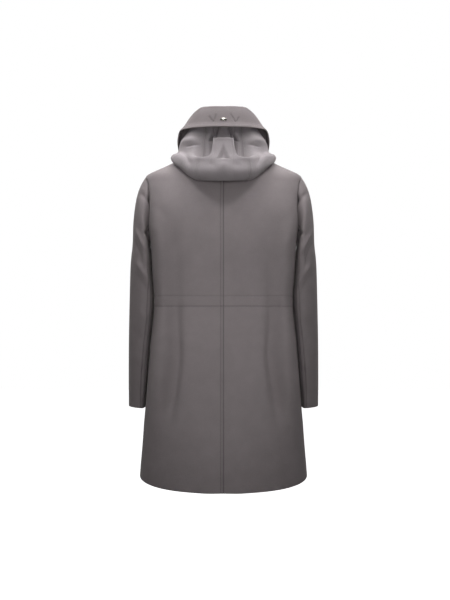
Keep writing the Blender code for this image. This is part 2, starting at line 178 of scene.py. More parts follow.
# The collar by the turn round the neck: roll is the top of the fold, edge the lower edge of the fall. Turns
# beyond COLLAR_LAST are squeezed together, so that the collar stops at COLLAR_END.
COLLAR = millimetres(
    "turn roll_out roll_z edge_out edge_z",
    (0, 32, 129.5, 59, 65.5),
    (20, 33, 129.8, 58, 66),
    (30, 33, 128.5, 56, 66.5),
    (40, 32, 118, 52.5, 66.5),
    (60, 30, 89, 45, 64),
    (72, 30, 74.5, 39.5, 56),
    (84, 33, 63, 37, 40),
    (95, 35, 53, 37, 28),
    (110, 38, 38, 41, 10),
    (130, 38, 9, 44, -22),
    (150, 31, -19, 40, -46),
    (180, 22, -34, 33, -58),
    plain="turn",
)
ROLL_HALF = 0.0070
ROLL_DROP = 0.0100
STAND_HOLLOW = 0.0020
COLLAR_END = 178
COLLAR_LAST = 160

# The hood by the turn round the neck: it lies on the coat down to lies_to, folds up, swells out, and its
# mouth goes under the collar
HOOD = millimetres(
    "turn lies_to fold_out fold_z swell_out swell_z roll_out roll_z dip_out dip_z throat_out throat_z"
    " mouth_out mouth_z",
    (0, -50, 72, -90, 105, -64, 100, -34, 83, -12, 61, 36, 41, 86),
    (14, -50, 72, -90, 105, -64, 100, -34, 83, -12, 61, 36, 41, 86),
    (28, -50, 73, -87, 101, -60, 96, -30, 77, -8, 60, 34, 40, 84),
    (42, -42, 71, -63, 92, -42, 88, -16, 67, -3, 56, 33, 37, 74),
    (60, -28, 63, -34.5, 77, -22, 74, 0, 55, 7, 48, 29, 31, 56),
    (78, -21, 56, -22.5, 64, -11, 60, 5, 44, 10, 39, 24, 27, 40),
    (95, -17, 50, -17.5, 58, -8, 53, 5, 40, 9, 35, 18, 26, 28),
    (112, -14, 43, -23, 49, -15, 47, -6, 40, -3, 34, 2, 26, 8),
    (130, -9, 30, -38, 35, -33, 34, -29, 32, -25, 29, -20, 23, -14),
    plain="turn",
)
HOOD_SEAM = 22
HOOD_END = 130
NECK_START = -0.003

# The fly strip down the front
FLY_LEFT = -0.052
FLY_RIGHT = 0.012
FLY_TOP = -0.030
FLY_BOTTOM = -0.945

# Steps of the cloth: how far apart its points are, and how close they come along a seam or a sewn line. To
# place them, a ring of the body is measured in RING_STEPS steps and any other line in LINE_STEPS.
RING_STEPS = 480
LINE_STEPS = 1920
BACK_STEP = 0.0038
FRONT_STEP = 0.0060
ROW_STEP = 0.0055
SLEEVE_STEP = 0.0036
FINE_STEP = 0.0010
FINE_REACH = 0.0060
PANEL_LENGTH = 0.30
SHOULDER_ROWS = 26
CAP_STEPS = 52
ARM_STEPS = 110
COLLAR_ROWS = 64
COLLAR_LENGTH = 0.18
COLLAR_STEP = 0.0050
DART_STEP = 0.0015
DART_REACH = 0.018
DART_PLACES = (-0.032, 0.033)
HOOD_ROWS = 200
HOOD_CENTRE_COLUMNS = 96
HOOD_SIDE_COLUMNS = 96
FLY_COLUMNS = 24

# The waist channel: two sewn rows round the coat with a soft ridge of cloth between them
CHANNEL_TOP = -0.4225
CHANNEL_BOTTOM = -0.4536
CHANNEL_PUFF = 0.0009
CHANNEL_BULGE = 0.0003
BULGE_ABOVE = 0.011
BULGE_WIDTH = 0.009
CHANNEL_TOP_SHARE = 0.6

# The armhole seam lies in a valley that is wider on the sleeve than on the body, and deeper at two places
VALLEY = millimetres(
    "height depth",
    (-270, 4),
    (-240, 8.5),
    (-205, 4.5),
    (-172, 6),
    (-140, 8.5),
    (-112, 3),
    (-90, 0.5),
    (-63, 0),
)
VALLEY_ON_SLEEVE = 0.016
VALLEY_ON_BODY = 0.0055

# Where the topstitching runs, measured in from a seam or an edge. HIND_STITCH is about the angle of the
# sleeve's row, and a share says how deep a sewn line is pressed and how dark its painted shade is.
CENTRE_STITCH = 0.008
SLEEVE_STITCH = 0.0125
SLEEVE_SEWN_SHARE = 1.5
HIND_STITCH = 111
COLLAR_STITCHES = (0.0045, 0.0095)
HOOD_STITCH = 0.0045
HOOD_SEAM_SHARE = 0.5
HOOD_SEAM_LOW = 0.2
HOOD_SEAM_CHANGE = -0.030
HOOD_SEAM_FADE = 0.020
COLLAR_SEWN_SHARE = 0.35
COLLAR_FLARE = 0.0055
COLLAR_FLARE_WIDTH = 0.0100
FLY_STITCHES = (0.006, 0.014)
FLY_SEWN_SHARE = 0.3

# Long soft troughs down the back, on its left and right, by height. Inner is the flank towards the centre.
TROUGH_COLUMNS = "height left_x right_x left_depth right_depth inner outer"
BACK_TROUGHS = millimetres(
    TROUGH_COLUMNS,
    (-920, -180, 184, 0, 0, 30, 60),
    (-800, -163, 167, 10, 9.4, 23, 48),
    (-724, -149.3, 152, 22.2, 21.8, 14.5, 36),
    (-660, -140.5, 142.5, 20.8, 20.4, 13, 29),
    (-600, -134, 134.5, 18.5, 19, 12, 24),
    (-520, -136.5, 138.5, 13.6, 14.4, 13.5, 26),
    (-435, -139.5, 142, 8.8, 9.2, 15, 29),
    (-350, -141, 142, 5.8, 5.8, 16.5, 31),
    (-260, -139, 141, 4.2, 4.2, 17, 32),
    (-160, -134, 138, 0, 0, 17, 32),
)

# The same on the fronts, fainter
FRONT_TROUGHS = millimetres(
    TROUGH_COLUMNS,
    (-900, -172, 164, 0, 0, 36, 68),
    (-780, -156, 150, 6.4, 5, 28, 53),
    (-620, -144, 141, 8.8, 7.6, 19, 36),
    (-460, -141, 139, 5.8, 6.6, 18, 34),
    (-300, -136, 138, 2.4, 3.2, 18, 34),
    (-200, -132, 136, 0, 0, 18, 34),
)

# Creases as straight or bowed lines across a panel, each with its width and its height, which is below zero
# for a trough. Each fades out over this share of its length at both ends.
CREASE_TAPER = 0.35
CREASE_COLUMNS = "start_x start_z end_x end_z bow width height"
BACK_CREASES = millimetres(
    CREASE_COLUMNS,
    (-216, -150, -160, -205, 4, 10, -1.3),
    (-212, -205, -168, -262, -3, 12, 1.2),
    (214, -160, 152, -222, 5, 11, -1.5),
    (210, -228, 172, -275, 2, 12, 1),
    (-198, -330, -152, -388, 4, 13, -1.2),
    (196, -305, 160, -378, -4, 12, -1.3),
    (-44, -780, -52, -1120, 3, 32, 6.2),
    (43, -770, 50, -1120, -4, 33, 6),
    (-190, -800, -215, -960, 4, 20, -2),
    (186, -780, 214, -960, -5, 21, -1.8),
)
FRONT_CREASES = millimetres(
    CREASE_COLUMNS,
    (-212, -170, -140, -235, 6, 11, -2),
    (-208, -225, -150, -300, -4, 12, 1.6),
    (210, -160, 128, -250, 7, 12, -2.2),
    (206, -240, 158, -292, 3, 11, 1.5),
    (-196, -350, -150, -395, 4, 12, -1.4),
    (194, -335, 142, -398, -5, 13, -1.6),
    (-110, -840, -124, -960, 3, 22, 1.8),
    (96, -800, 112, -960, -4, 24, 1.6),
)

# Creases of the sleeve, by the angle round it in degrees and the height
SLEEVE_CREASES = millimetres(
    "start_angle start_z end_angle end_z bow width height",
    (30, -214, 100, -304, 5, 8, 5.8),
    (24, -250, 84, -338, 5, 9.2, -5),
    (40, -312, 116, -394, 4, 8, 5),
    (40, -346, 110, -430, 4, 10.5, -4.4),
    (62, -452, 112, -502, -3, 10.5, 3.2),
    (36, -514, 100, -572, 4, 11.5, -3.2),
    (58, -606, 114, -650, 3, 10.5, 2.7),
    (46, -688, 104, -712, -2, 11.5, -2.4),
    (140, -262, 178, -300, 2, 9, -3.4),
    (312, -140, 262, -176, 3, 7.8, -3.6),
    (318, -228, 258, -300, 5, 8.8, 4.6),
    (326, -262, 262, -340, -4, 9.8, -4),
    (300, -372, 254, -430, 4, 10.8, 3.4),
    (310, -480, 256, -520, 3, 11.8, -2.8),
    (296, -600, 254, -636, -3, 11.8, 2.3),
    plain="start_angle end_angle",
)
METRES_PER_DEGREE = 0.00105

# Creases of the sleeve's head as seen from behind, by the distance from the coat's centre line and the
# height, and its fullness
HEAD_CREASES = millimetres(
    CREASE_COLUMNS,
    (256, -108, 204, -156, 2, 8.5, -5.2),
    (238, -249, 204, -203, 1, 3.4, -3.8),
    (231, -232, 206, -274, 1, 3.8, -5),
)
HEAD_FULL = millimetres(
    "height full",
    (-270, 0),
    (-210, 5),
    (-155, 5),
    (-110, 2),
    (-70, 0),
)
HEAD_REACH = 0.030
HEAD_ANGLE = 90
HEAD_SPAN = 48

# Fullness of the sleeve's inner hind corner, by its angle, and of the body's corners, by their share of the
# half width. It moves the cloth straight away from the coat's middle plane, and fades out where the cloth
# crosses that plane.
CORNER_ANGLE = 142
CORNER_SPAN = 17
CORNER = millimetres(
    "height full",
    (-760, 0),
    (-700, 10),
    (-560, 9),
    (-500, 5),
    (-440, 9),
    (-375, -3),
    (-300, 0),
    (-262, 0),
    (-235, 0),
)
SIDE_SHARE = 0.88
SIDE_SPAN = 0.13
SIDE = millimetres(
    "height full",
    (-860, 0),
    (-780, 6),
    (-700, 12),
    (-600, 13),
    (-450, 12),
    (-350, 16),
    (-270, 14),
    (-200, 6),
    (-130, 0),
)
SIDE_REACH = 0.030
FULL_TURN = 0.020

# The sleeve leans in on the coat's side, and the side gives way to it
LEAN = millimetres(
    "height lean press",
    (-800, 0, 0),
    (-720, 4.8, 4),
    (-510, 5.8, 4),
    (-450, 4.9, 4),
    (-390, 4.1, 4),
    (-330, 5, 4),
    (-290, 5, 3.8),
    (-225, 0, 0),
)
LEAN_ANGLE = 180
LEAN_SPAN = 24
PRESS_REACH = 0.034

# The right sleeve's creases differ a little from the left one's
RIGHT_SLEEVE_SHIFT = -0.007
RIGHT_SLEEVE_GAIN = 0.92

# The hood's outer wall, which starts a few rows past the fold. Above this ledge, by the place across, its
# cloth is pushed in under the collar.
OUTER_FROM = 4
OUTER_FADE = 10
HOOD_LEDGE = millimetres(
    "across height",
    (0, 32),
    (20.5, 31.6),
    (25, 29.5),
    (27.5, 23.5),
    (29.5, 12),
    (31.8, -2),
    (35.5, -15),
    (41.5, -23.5),
    (50, -26.8),
    (60, -28),
    (80, -26.2),
    (102, -15),
    (118, -1),
    (160, 30),
)
LEDGE_PUSH_LOW = 0.0250
LEDGE_PUSH_HIGH = 0.0140
LEDGE_CLIMB = 0.060
LEDGE_SOFT = 0.0110
LEDGE_RIM = 0.0018
LEDGE_RIM_WIDTH = 0.0055
PUSH_TOP = 0.076
PUSH_FADE = 0.022
PUSH_SIDE = 0.060
PUSH_SIDE_FADE = 0.032

# The triangle that is pressed in between the two legs of the ledge, and the hood's creases and puffs
TRIANGLE_TOP = 0.0280
TRIANGLE_BASE = -0.0340
TRIANGLE_HALF = 0.0225
TRIANGLE_DEPTH = 0.0130
TRIANGLE_SOFT = 0.0140
HOOD_CREASES = millimetres(
    CREASE_COLUMNS,
    (-4, 85, -50, 26, 1, 4.2, -16),
    (5, 85, 51, 26, -1, 4.2, -15.2),
    (-114, 13, -70, 21.5, -3, 3, -2.6),
    (112, 12.5, 72, 21.5, 3, 3, -2.4),
    (-125, 8, -96, -56, 4, 8, -5.8),
    (126, 8, 97, -56, -4, 8, -5.6),
    (-46, -40, -14, -75, 4, 10, -1.6),
    (50, -42, 18, -78, -4, 11, -1.8),
)
HOOD_PUFFS = millimetres(
    "x z half_wide half_tall height",
    (-98, 31, 23, 10, 6.6),
    (97, 31, 23, 10, 6.2),
    (0, -51, 15, 10, 5),
    (-66, -29, 30, 9, 1.8),
    (67, -29, 30, 9, 2),
    (0, -75, 85, 20, 16.5),
)

# The hood's side rolls sink onto the shoulders: by how much, from where across, and how far down and back
ROLL_SINK = 0.0100
ROLL_SINK_FROM = 0.114
ROLL_SINK_FADE = 0.034
ROLL_SINK_BEHIND = 0.6
ROLL_FOOT = -0.022
ROLL_FOOT_FADE = 0.024
ROLL_BACK = -0.030
ROLL_BACK_FADE = 0.030

# V-shaped sewn darts of the collar, drawn on it from far behind, and the stud between them. The profile of
# the stud is a share of its width and of its depth, from the foot to the top of the dome.
EYE_Y = -1.0
DRAWN_POINTS = 24
COLLAR_DARTS = millimetres(
    "start_x start_z end_x end_z",
    (-29, 80, -43, 102),
    (-29, 80, -21.8, 107.8),
    (35.1, 80, 18.8, 109),
    (35.1, 80, 45, 99),
)
DART_WIDTH = 0.0016
DART_DEPTH = 0.0008
DART_TAPER = 0.08
STUD_WIDTH = 0.020
STUD_TALL = 0.011
STUD_DEEP = 0.004
STUD_X = 0.0005
STUD_HEIGHT = 0.0890
STUD_SEAT = 0.004
STUD_SIDES = 48
STUD_SHARP = 45
STUD_PROFILE = Table(
    "share out",
    (0.97, 0.00), (1.00, 0.12), (1.00, 0.30), (0.95, 0.42), (0.86, 0.44), (0.80, 0.40), (0.76, 0.44),
    (0.70, 0.62), (0.58, 0.78), (0.42, 0.90), (0.22, 0.98), (0.02, 1.00),
)


def unit(vectors):
    return vectors / np.linalg.norm(vectors, axis=-1, keepdims=True)


def ease(share):
    """0 below 0 and 1 above 1, with a smooth rise between."""
    share = np.clip(share, 0, 1)
    return share * share * (3 - 2 * share)


def span_window(value, low, high, fade):
    """1 between low and high, easing to 0 over fade outside them."""
    return ease((value - low) / fade + 1) * ease((high - value) / fade + 1)


def bump(offset, width):
    """A rounded hill: 1 at no offset, and about a third at this width."""
    return np.exp(-((offset / width) ** 2))


def squared(wave, power):
    """A sine or cosine raised to a power, with its sign kept. It squares a round section."""
    return np.sign(wave) * np.abs(wave) ** power


# The coat's forms, as in the solids


def body(height, turn, side):
    """Points of the coat's body on one side. Turn is 0 at the centre back, 90 at the side, 180 in front."""
    height, turn = np.broadcast_arrays(np.asarray(height, float), np.asarray(turn, float))
    across = np.sin(np.radians(turn))
    along = np.cos(np.radians(turn))
    power = 2 / BODY.at("squareness", height)
    at_back = along > 0
    depth = np.where(at_back, BODY.at("back", height), BODY.at("front", height))
    tilt = np.where(at_back, BODY.at("back_lift", height), -BODY.at("front_drop", height))
    x = side * BODY.at("half_width", height) * squared(across, power)
    y = -depth * squared(along, power)
    z = height + tilt * np.where(at_back, np.abs(along), along**2)
    for fold in BACK_FOLDS.each():
        reach = span_window(z, fold["bottom"] + FOLD_FADE, fold["top"] - FOLD_FADE, FOLD_FADE)
        y = y + at_back * fold["depth"] * reach * bump(x - fold["across"], fold["width"])
    return np.stack([x, y, z], axis=-1)


def body_normal(height, turn, side):
    """The direction straight out of the coat's body."""
    step = 0.5
    rise = 0.001
    round_it = body(height, turn + step, side) - body(height, turn - step, side)
    up_it = body(height + rise, turn, side) - body(height - rise, turn, side)
    return side * unit(np.cross(round_it, up_it))


def ring_lengths(height, start, end, side):
    """Fine turns along one ring of the body, and the length from start to each of them."""
    fine = np.linspace(start, end, RING_STEPS + 1)
    steps = np.linalg.norm(np.diff(body(height, fine, side), axis=0), axis=1)
    return fine, np.concatenate([[0], np.cumsum(steps)])


def turns_by_length(height, start, end, shares, side):
    """Turns that part one ring of the body, from start to end, at these shares of its length."""
    fine, length = ring_lengths(height, start, end, side)
    return np.interp(shares * length[-1], length, fine)


def armhole_turn(height, end, reach, side):
    """The turn where the armhole's edge crosses this ring, going from the side seam towards end."""
    share = np.clip((height - ARMHOLE_MIDDLE) / ARMHOLE_HALF, -1, 1)
    fine, length = ring_lengths(height, 90, end, side)
    return np.interp(reach * np.sqrt(1 - share**2), length, fine)


def armhole_heights(angles):
    """Heights on the armhole's edge, by the angle from the top of the shoulder."""
    return ARMHOLE_MIDDLE + ARMHOLE_HALF * np.cos(np.radians(angles))


def places(start, end, step, lines, fine_step=FINE_STEP, reach=FINE_REACH):
    """Places from start to end that are step apart, and close to fine_step near the lines."""
    fine = np.linspace(start, end, LINE_STEPS + 1)
    density = np.full_like(fine, 1 / step)
    for line in lines:
        density = np.maximum(density, (1 / fine_step) * bump(fine - line, reach))
    count = np.concatenate([[0], np.cumsum((density[1:] + density[:-1]) / 2 * np.abs(np.diff(fine)))])
    return np.interp(np.linspace(0, count[-1], int(round(count[-1])) + 1), count, fine)


def sleeve_angles(start, end, seams):
    """Angles round the sleeve between start and end, closer together at the seams."""
    scale = METRES_PER_DEGREE
    lines = [seam * scale for seam in seams]
    return places(start * scale, end * scale, SLEEVE_STEP, lines, 2 * FINE_STEP) / scale


TO_HIND_SEAM = sleeve_angles(0, HIND_SEAM, [HIND_STITCH, HIND_SEAM])
TO_FORE_SEAM = sleeve_angles(180, FORE_SEAM, [FORE_SEAM])
BACK_ANGLES = np.concatenate([TO_HIND_SEAM, sleeve_angles(HIND_SEAM, 180, [HIND_SEAM])[1:]])
FRONT_ANGLES = np.concatenate([TO_FORE_SEAM, sleeve_angles(FORE_SEAM, 360, [FORE_SEAM])[1:]])
SLEEVE_ANGLES = np.concatenate([BACK_ANGLES, FRONT_ANGLES[1:]])
LOW_HEIGHTS = places(HEM_HEIGHT, UNDERARM_HEIGHT, ROW_STEP, [CHANNEL_TOP, CHANNEL_BOTTOM])
SHOULDER_HEIGHTS = np.linspace(SHOULDER_HEIGHT, NECK_HEIGHT, SHOULDER_ROWS + 1)
LOW_ROWS = len(LOW_HEIGHTS) - 1
CENTRE_LINES = [0, PANEL_LENGTH - CENTRE_STITCH, PANEL_LENGTH]
BACK_SHARES = places(0, PANEL_LENGTH, BACK_STEP, CENTRE_LINES) / PANEL_LENGTH
FRONT_SHARES = places(0, PANEL_LENGTH, FRONT_STEP, [0, PANEL_LENGTH]) / PANEL_LENGTH
COLLAR_LINES = [COLLAR_LENGTH - inset for inset in COLLAR_STITCHES]
COLLAR_SHARES = places(0, COLLAR_LENGTH, COLLAR_LENGTH / COLLAR_ROWS, COLLAR_LINES) / COLLAR_LENGTH


def body_heights(angles):
    """Heights of a panel's rows: below the underarm, up the armhole, up the shoulder."""
    cut = np.sort(armhole_heights(angles))
    return np.concatenate([LOW_HEIGHTS, cut[1:-1], SHOULDER_HEIGHTS])


def body_panel(side, end, angles, reach, shares):
    """One quarter of the coat's body, from its outer edge to the centre line at turn end."""
    rows = []
    for height in body_heights(angles):
        edge = 90.0
        if UNDERARM_HEIGHT < height < SHOULDER_HEIGHT:
            edge = armhole_turn(height, end, reach, side)
        rows.append(body(height, turns_by_length(height, edge, end, shares, side), side))
    return np.array(rows)


def armhole(angle, side):
    """A point of the armhole's edge, by its angle from the top of the shoulder round by the back."""
    height = armhole_heights(angle)
    end, reach = (0, ARMHOLE_BACK) if angle <= 180 else (180, ARMHOLE_FRONT)
    return body(height, armhole_turn(height, end, reach, side), side)


def sleeve_ring(ring, angles, side):
    """The plain form of one ring of the sleeve, without the armhole's own form."""
    size = SLEEVE.row(ring)
    outer = np.array([size["outer_x"], 0, size["outer_z"]])
    inner = np.array([size["inner_x"], 0, size["inner_z"]])
    power = 2 / size["squareness"]
    across = squared(np.cos(np.radians(angles)), power)
    along = squared(np.sin(np.radians(angles)), power)
    points = (outer + inner) / 2 + across[:, None] * (outer - inner) / 2
    points[:, 0] -= size["wrap"] * along**2
    points[:, 1] += size["middle_y"] - size["half_depth"] * along
    points[:, 0] *= side
    return points


def sleeve_grid(side):
    """The whole sleeve: a row for each ring, a column for each angle."""
    angles = SLEEVE_ANGLES
    own_form = np.array([armhole(angle, side) for angle in angles]) - sleeve_ring(0.0, angles, side)
    last = SLEEVE.rows[-1, 0]
    cap = np.linspace(0, CAP_RINGS, CAP_STEPS + 1)
    arm = np.linspace(CAP_RINGS, last, ARM_STEPS + 1)[1:]
    rings = np.concatenate([cap, arm])
    return np.array([sleeve_ring(ring, angles, side) + SLEEVE.at("own", ring) * own_form for ring in rings])


def smooth_line(keys, points, at):
    """Points at these keys on the smooth line through the given points."""
    line = Table("key x y z", *np.column_stack([keys, points]))
    return np.stack([line.at(name, at) for name in "xyz"], axis=-1)


def through(stations, shares):
    """A smooth line through the stations, by chord length, at these shares of it."""
    chords = np.linalg.norm(np.diff(stations, axis=0), axis=1)
    keys = np.concatenate([[0], np.cumsum(chords)])
    return smooth_line(keys, stations, shares * keys[-1])


def neck_frame(turn, side):
    """The neckline's point at this turn, and the level direction out from it."""
    outward = np.array([side * np.sin(np.radians(turn)), -np.cos(np.radians(turn)), 0])
    return body(NECK_HEIGHT, turn, side), outward


def sections(line, turns, side):
    """A grid whose columns are the sections that line makes at these turns."""
    return np.array([line(turn, side) for turn in turns]).swapaxes(0, 1)


def mirrored(half):
    """A grid that starts at the centre line, with its mirror image put before it."""
    return np.concatenate([half[:, :0:-1] * [-1, 1, 1], half], axis=1)


def collar_line(turn, side):
    """The collar's section: up from the neckline, over the roll, down to the edge of the fall."""
    size = COLLAR.row(turn)
    start, outward = neck_frame(turn, side)
    up = np.array([0, 0, 1.0])
    roll = start * [1, 1, 0] + outward * size["roll_out"] + up * size["roll_z"]
    edge = start * [1, 1, 0] + outward * size["edge_out"] + up * size["edge_z"]
    inside = roll - outward * ROLL_HALF - up * ROLL_DROP
    outside = roll + outward * ROLL_HALF - up * ROLL_DROP
    middle = (start + inside) / 2 - outward * STAND_HOLLOW
    return through(np.array([start, middle, inside, roll, outside, edge]), COLLAR_SHARES)


def even_columns(grid, step, lines, fine_step, reach):
    """The grid on new columns: step apart along its last row, and close to fine_step beside the lines."""
    keys = run_from(grid, 1, "first")[-1]
    at = places(0, keys[-1], step, [keys[-1] / 2 + line for line in lines], fine_step, reach)
    return np.array([smooth_line(keys, row, at) for row in grid])


def hood_line(turn, side):
    """The hood's section: down the coat from the neckline, round the fold, up to the mouth."""
    size = HOOD.row(turn)
    start, outward = neck_frame(turn, side)
    lift = CLOTH + SEAM_GAP + LOOSE
    stations = []
    for share in (0.0, 0.5, 1.0):
        height = NECK_START + share * (size["lies_to"] - NECK_START)
        stations.append(body(height, turn, side) + lift * body_normal(height, turn, side))
    for name in ("fold", "swell", "roll", "dip", "throat", "mouth"):
        level = start * [1, 1, 0] + outward * size[name + "_out"]
        stations.append(level + [0, 0, size[name + "_z"]])
    return through(np.array(stations), np.linspace(0, 1, HOOD_ROWS + 1))


def first_columns(grid):
    """The grid's first edge and the column next to it."""
    return grid[:, :2].swapaxes(0, 1)


def last_columns(grid):
    """The grid's last edge and the column next to it."""
    return grid[:, :-3:-1].swapaxes(0, 1)


def part_seam(first, second):
    """Draws two pieces back from the edge that they share, so that their thick walls just clear each other.

    Each is a view of its grid: the edge, then the line of points next to it.
    """
    edge = first[0].copy()
    out_of_first = unit(edge - first[1])
    into_second = unit(second[1] - edge)
    bend = np.clip(np.sum(out_of_first * into_second, axis=-1, keepdims=True), SHARPEST_BEND, 1)
    pull = SEAM_GAP / 2 + CLOTH / 2 * np.sqrt((1 - bend) / (1 + bend))
    first[0] = edge - out_of_first * pull
    second[0] = edge + into_second * pull


def side_grids(side):
    """The back, the front and the sleeve of one side, parted at the seams between them."""
    back = body_panel(side, 0, BACK_ANGLES, ARMHOLE_BACK, BACK_SHARES)
    front = body_panel(side, 180, FRONT_ANGLES, ARMHOLE_FRONT, FRONT_SHARES)
    sleeve = sleeve_grid(side)
    side_seam = np.s_[: LOW_ROWS + 1]
    shoulder_seam = np.s_[-SHOULDER_ROWS - 1 :]
    for rows in (side_seam, shoulder_seam):
        part_seam(first_columns(back[rows]), first_columns(front[rows]))
    underarm = len(BACK_ANGLES) - 1
    by_back = np.s_[underarm::-1]
    by_front = np.s_[underarm:]
    for panel, angles, way in ((back, BACK_ANGLES, by_back), (front, FRONT_ANGLES, by_front)):
        rows = np.s_[LOW_ROWS : LOW_ROWS + len(angles)]
        part_seam(first_columns(panel[rows]), sleeve[:2, way])
    sleeve[0, 0] = sleeve[0, -1]
    hind = len(TO_HIND_SEAM) - 1
    fore = underarm + len(TO_FORE_SEAM) - 1
    under = sleeve[:, hind : fore + 1].copy()
    upper = np.concatenate([sleeve[:, fore:-1], sleeve[:, : hind + 1]], axis=1)
    part_seam(last_columns(upper), first_columns(under))
    part_seam(first_columns(upper), last_columns(under))
    upper_angles = np.concatenate([SLEEVE_ANGLES[fore:-1], SLEEVE_ANGLES[: hind + 1]])
    under_angles = SLEEVE_ANGLES[hind : fore + 1]
    return back, front, (upper, upper_angles), (under, under_angles)


def collar_grid():
    """The collar from end to end, with a column wherever the neckline has a point."""
    back_turns = turns_by_length(NECK_HEIGHT, 90, 0, BACK_SHARES, 1)[::-1]
    front_turns = turns_by_length(NECK_HEIGHT, 90, 180, FRONT_SHARES, 1)[1:]
    last_part = np.clip((front_turns - COLLAR_LAST) / (180 - COLLAR_LAST), 0, 1)
    turns = np.concatenate([back_turns, front_turns - last_part * (180 - COLLAR_END)])
    return mirrored(sections(collar_line, turns, 1))


def part_neckline(back, front, collar, side):
    """Parts the collar from the back and the front of one side."""
    middle = collar.shape[1] // 2
    shoulder = middle + side * (back.shape[1] - 1)
    end = shoulder + side * front.shape[1]
    along_back = np.s_[middle : shoulder + side : side]
    along_front = np.s_[shoulder : end if end >= 0 else None : side]
    neckline = collar[0, along_front].copy()
    part_seam(back[:-3:-1, ::-1], collar[:2, along_back])
    collar[0, along_front] = neckline
    part_seam(front[:-3:-1], collar[:2, along_front])


def hood_grids():
    """The hood's centre panel and its two sides."""
    middle_turns = np.linspace(0, HOOD_SEAM, HOOD_CENTRE_COLUMNS // 2 + 1)
    side_turns = np.linspace(HOOD_SEAM, HOOD_END, HOOD_SIDE_COLUMNS + 1)
    centre = mirrored(sections(hood_line, middle_turns, 1))
    right, left = (sections(hood_line, side_turns, side) for side in (1, -1))
    part_seam(last_columns(centre), first_columns(right))
    part_seam(first_columns(centre), first_columns(left))
    return centre, right, left


def fly_grid():
    """The fly strip: points of the fronts, moved out by one wall and a gap."""
    grid = []
    lift = CLOTH + SEAM_GAP
    heights = body_heights(FRONT_ANGLES)
    for height in heights[(heights > FLY_BOTTOM) & (heights < FLY_TOP)]:
        row = []
        for x in np.linspace(FLY_LEFT, FLY_RIGHT, FLY_COLUMNS + 1):
            side = 1 if x > 0 else -1
            share = (abs(x) / BODY.at("half_width", height)) ** (BODY.at("squareness", height) / 2)
            turn = 180 - np.degrees(np.arcsin(share))
            row.append(body(height, turn, side) + lift * body_normal(height, turn, side))
        grid.append(row)
    return np.array(grid)[:, ::-1]


# Seams, sewn lines, creases and turned edges


def normals_of(grid, facing):
    """Unit normals of a grid of points. Facing, 1 or -1, is the way out of the coat."""
    return facing * unit(np.cross(np.gradient(grid, axis=1), np.gradient(grid, axis=0)))


def run_from(grid, axis, end):
    """How far each point is from the grid's first or last edge, along its own row or column."""
    steps = np.linalg.norm(np.diff(grid, axis=axis), axis=-1)
    start = np.zeros_like(np.take(steps, [0], axis=axis))
    run = np.concatenate([start, np.cumsum(steps, axis=axis)], axis=axis)
    return run if end == "first" else np.take(run, [-1], axis=axis) - run


def seam_dip(distance):
    """How far the cloth turns in beside a seam."""
    return -SEAM_DIP * bump(distance, SEAM_DIP_WIDTH)


def sewn_line(distance):
    """The line that a row of stitches presses into the cloth."""
    return -SEWN_DEPTH * bump(distance, SEWN_WIDTH)


def creases(first, second, table, taper=CREASE_TAPER):
    """Height of the listed creases at these places. Each fades over the share taper at both ends."""
    total = np.zeros_like(first)
    for start_first, start_second, end_first, end_second, bow, width, height in table:
        run_first = end_first - start_first
        run_second = end_second - start_second
        length = math.hypot(run_first, run_second)
        along = ((first - start_first) * run_first + (second - start_second) * run_second) / length**2
        aside = ((second - start_second) * run_first - (first - start_first) * run_second) / length
        held = np.clip(along, 0, 1)
        kept = ease(along / taper) * ease((1 - along) / taper)
        total += height * kept * bump(aside - 4 * bow * held * (1 - held), width)
    return total


def troughs(x, z, table):
    """Depth of the long soft troughs on both sides of a panel."""
    total = np.zeros_like(x)
    for name, side in (("left", -1), ("right", 1)):
        outward = side * (x - table.at(name + "_x", z))
        flank = np.where(outward > 0, table.at("outer", z), table.at("inner", z))
        total -= table.at(name + "_depth", z) * bump(outward, flank)
    return total


def armhole_valley(grid, heights, share):
    """Moves a piece in towards the coat's middle plane near the armhole seam, by the seam's height."""
    inside = (heights > UNDERARM_HEIGHT) & (heights < SHOULDER_HEIGHT)
    turned = np.sqrt(np.clip(1 - ((heights - ARMHOLE_MIDDLE) / ARMHOLE_HALF) ** 2, 0, 1))
    sunk = grid.copy()
    sunk[..., 1] -= np.sign(grid[..., 1]) * inside * turned * VALLEY.at("depth", heights) * share
    return sunk


def filled_out(grid, fullness):
    """Moves a piece straight away from the coat's middle plane."""
    fuller = grid.copy()
    fuller[..., 1] += fullness * np.tanh(grid[..., 1] / FULL_TURN)
    return fuller


def waist_channel(z):
    """The soft ridge between the waist channel's sewn rows, and the cloth that hangs over the upper one."""
    middle = (CHANNEL_TOP + CHANNEL_BOTTOM) / 2
    half = (CHANNEL_TOP - CHANNEL_BOTTOM) / 2
    ridge = CHANNEL_PUFF * np.cos(np.clip((z - middle) / half, -1, 1) * np.pi / 2) ** 2
    bulge = CHANNEL_BULGE * bump(z - CHANNEL_TOP - BULGE_ABOVE, BULGE_WIDTH)
    return ridge + bulge


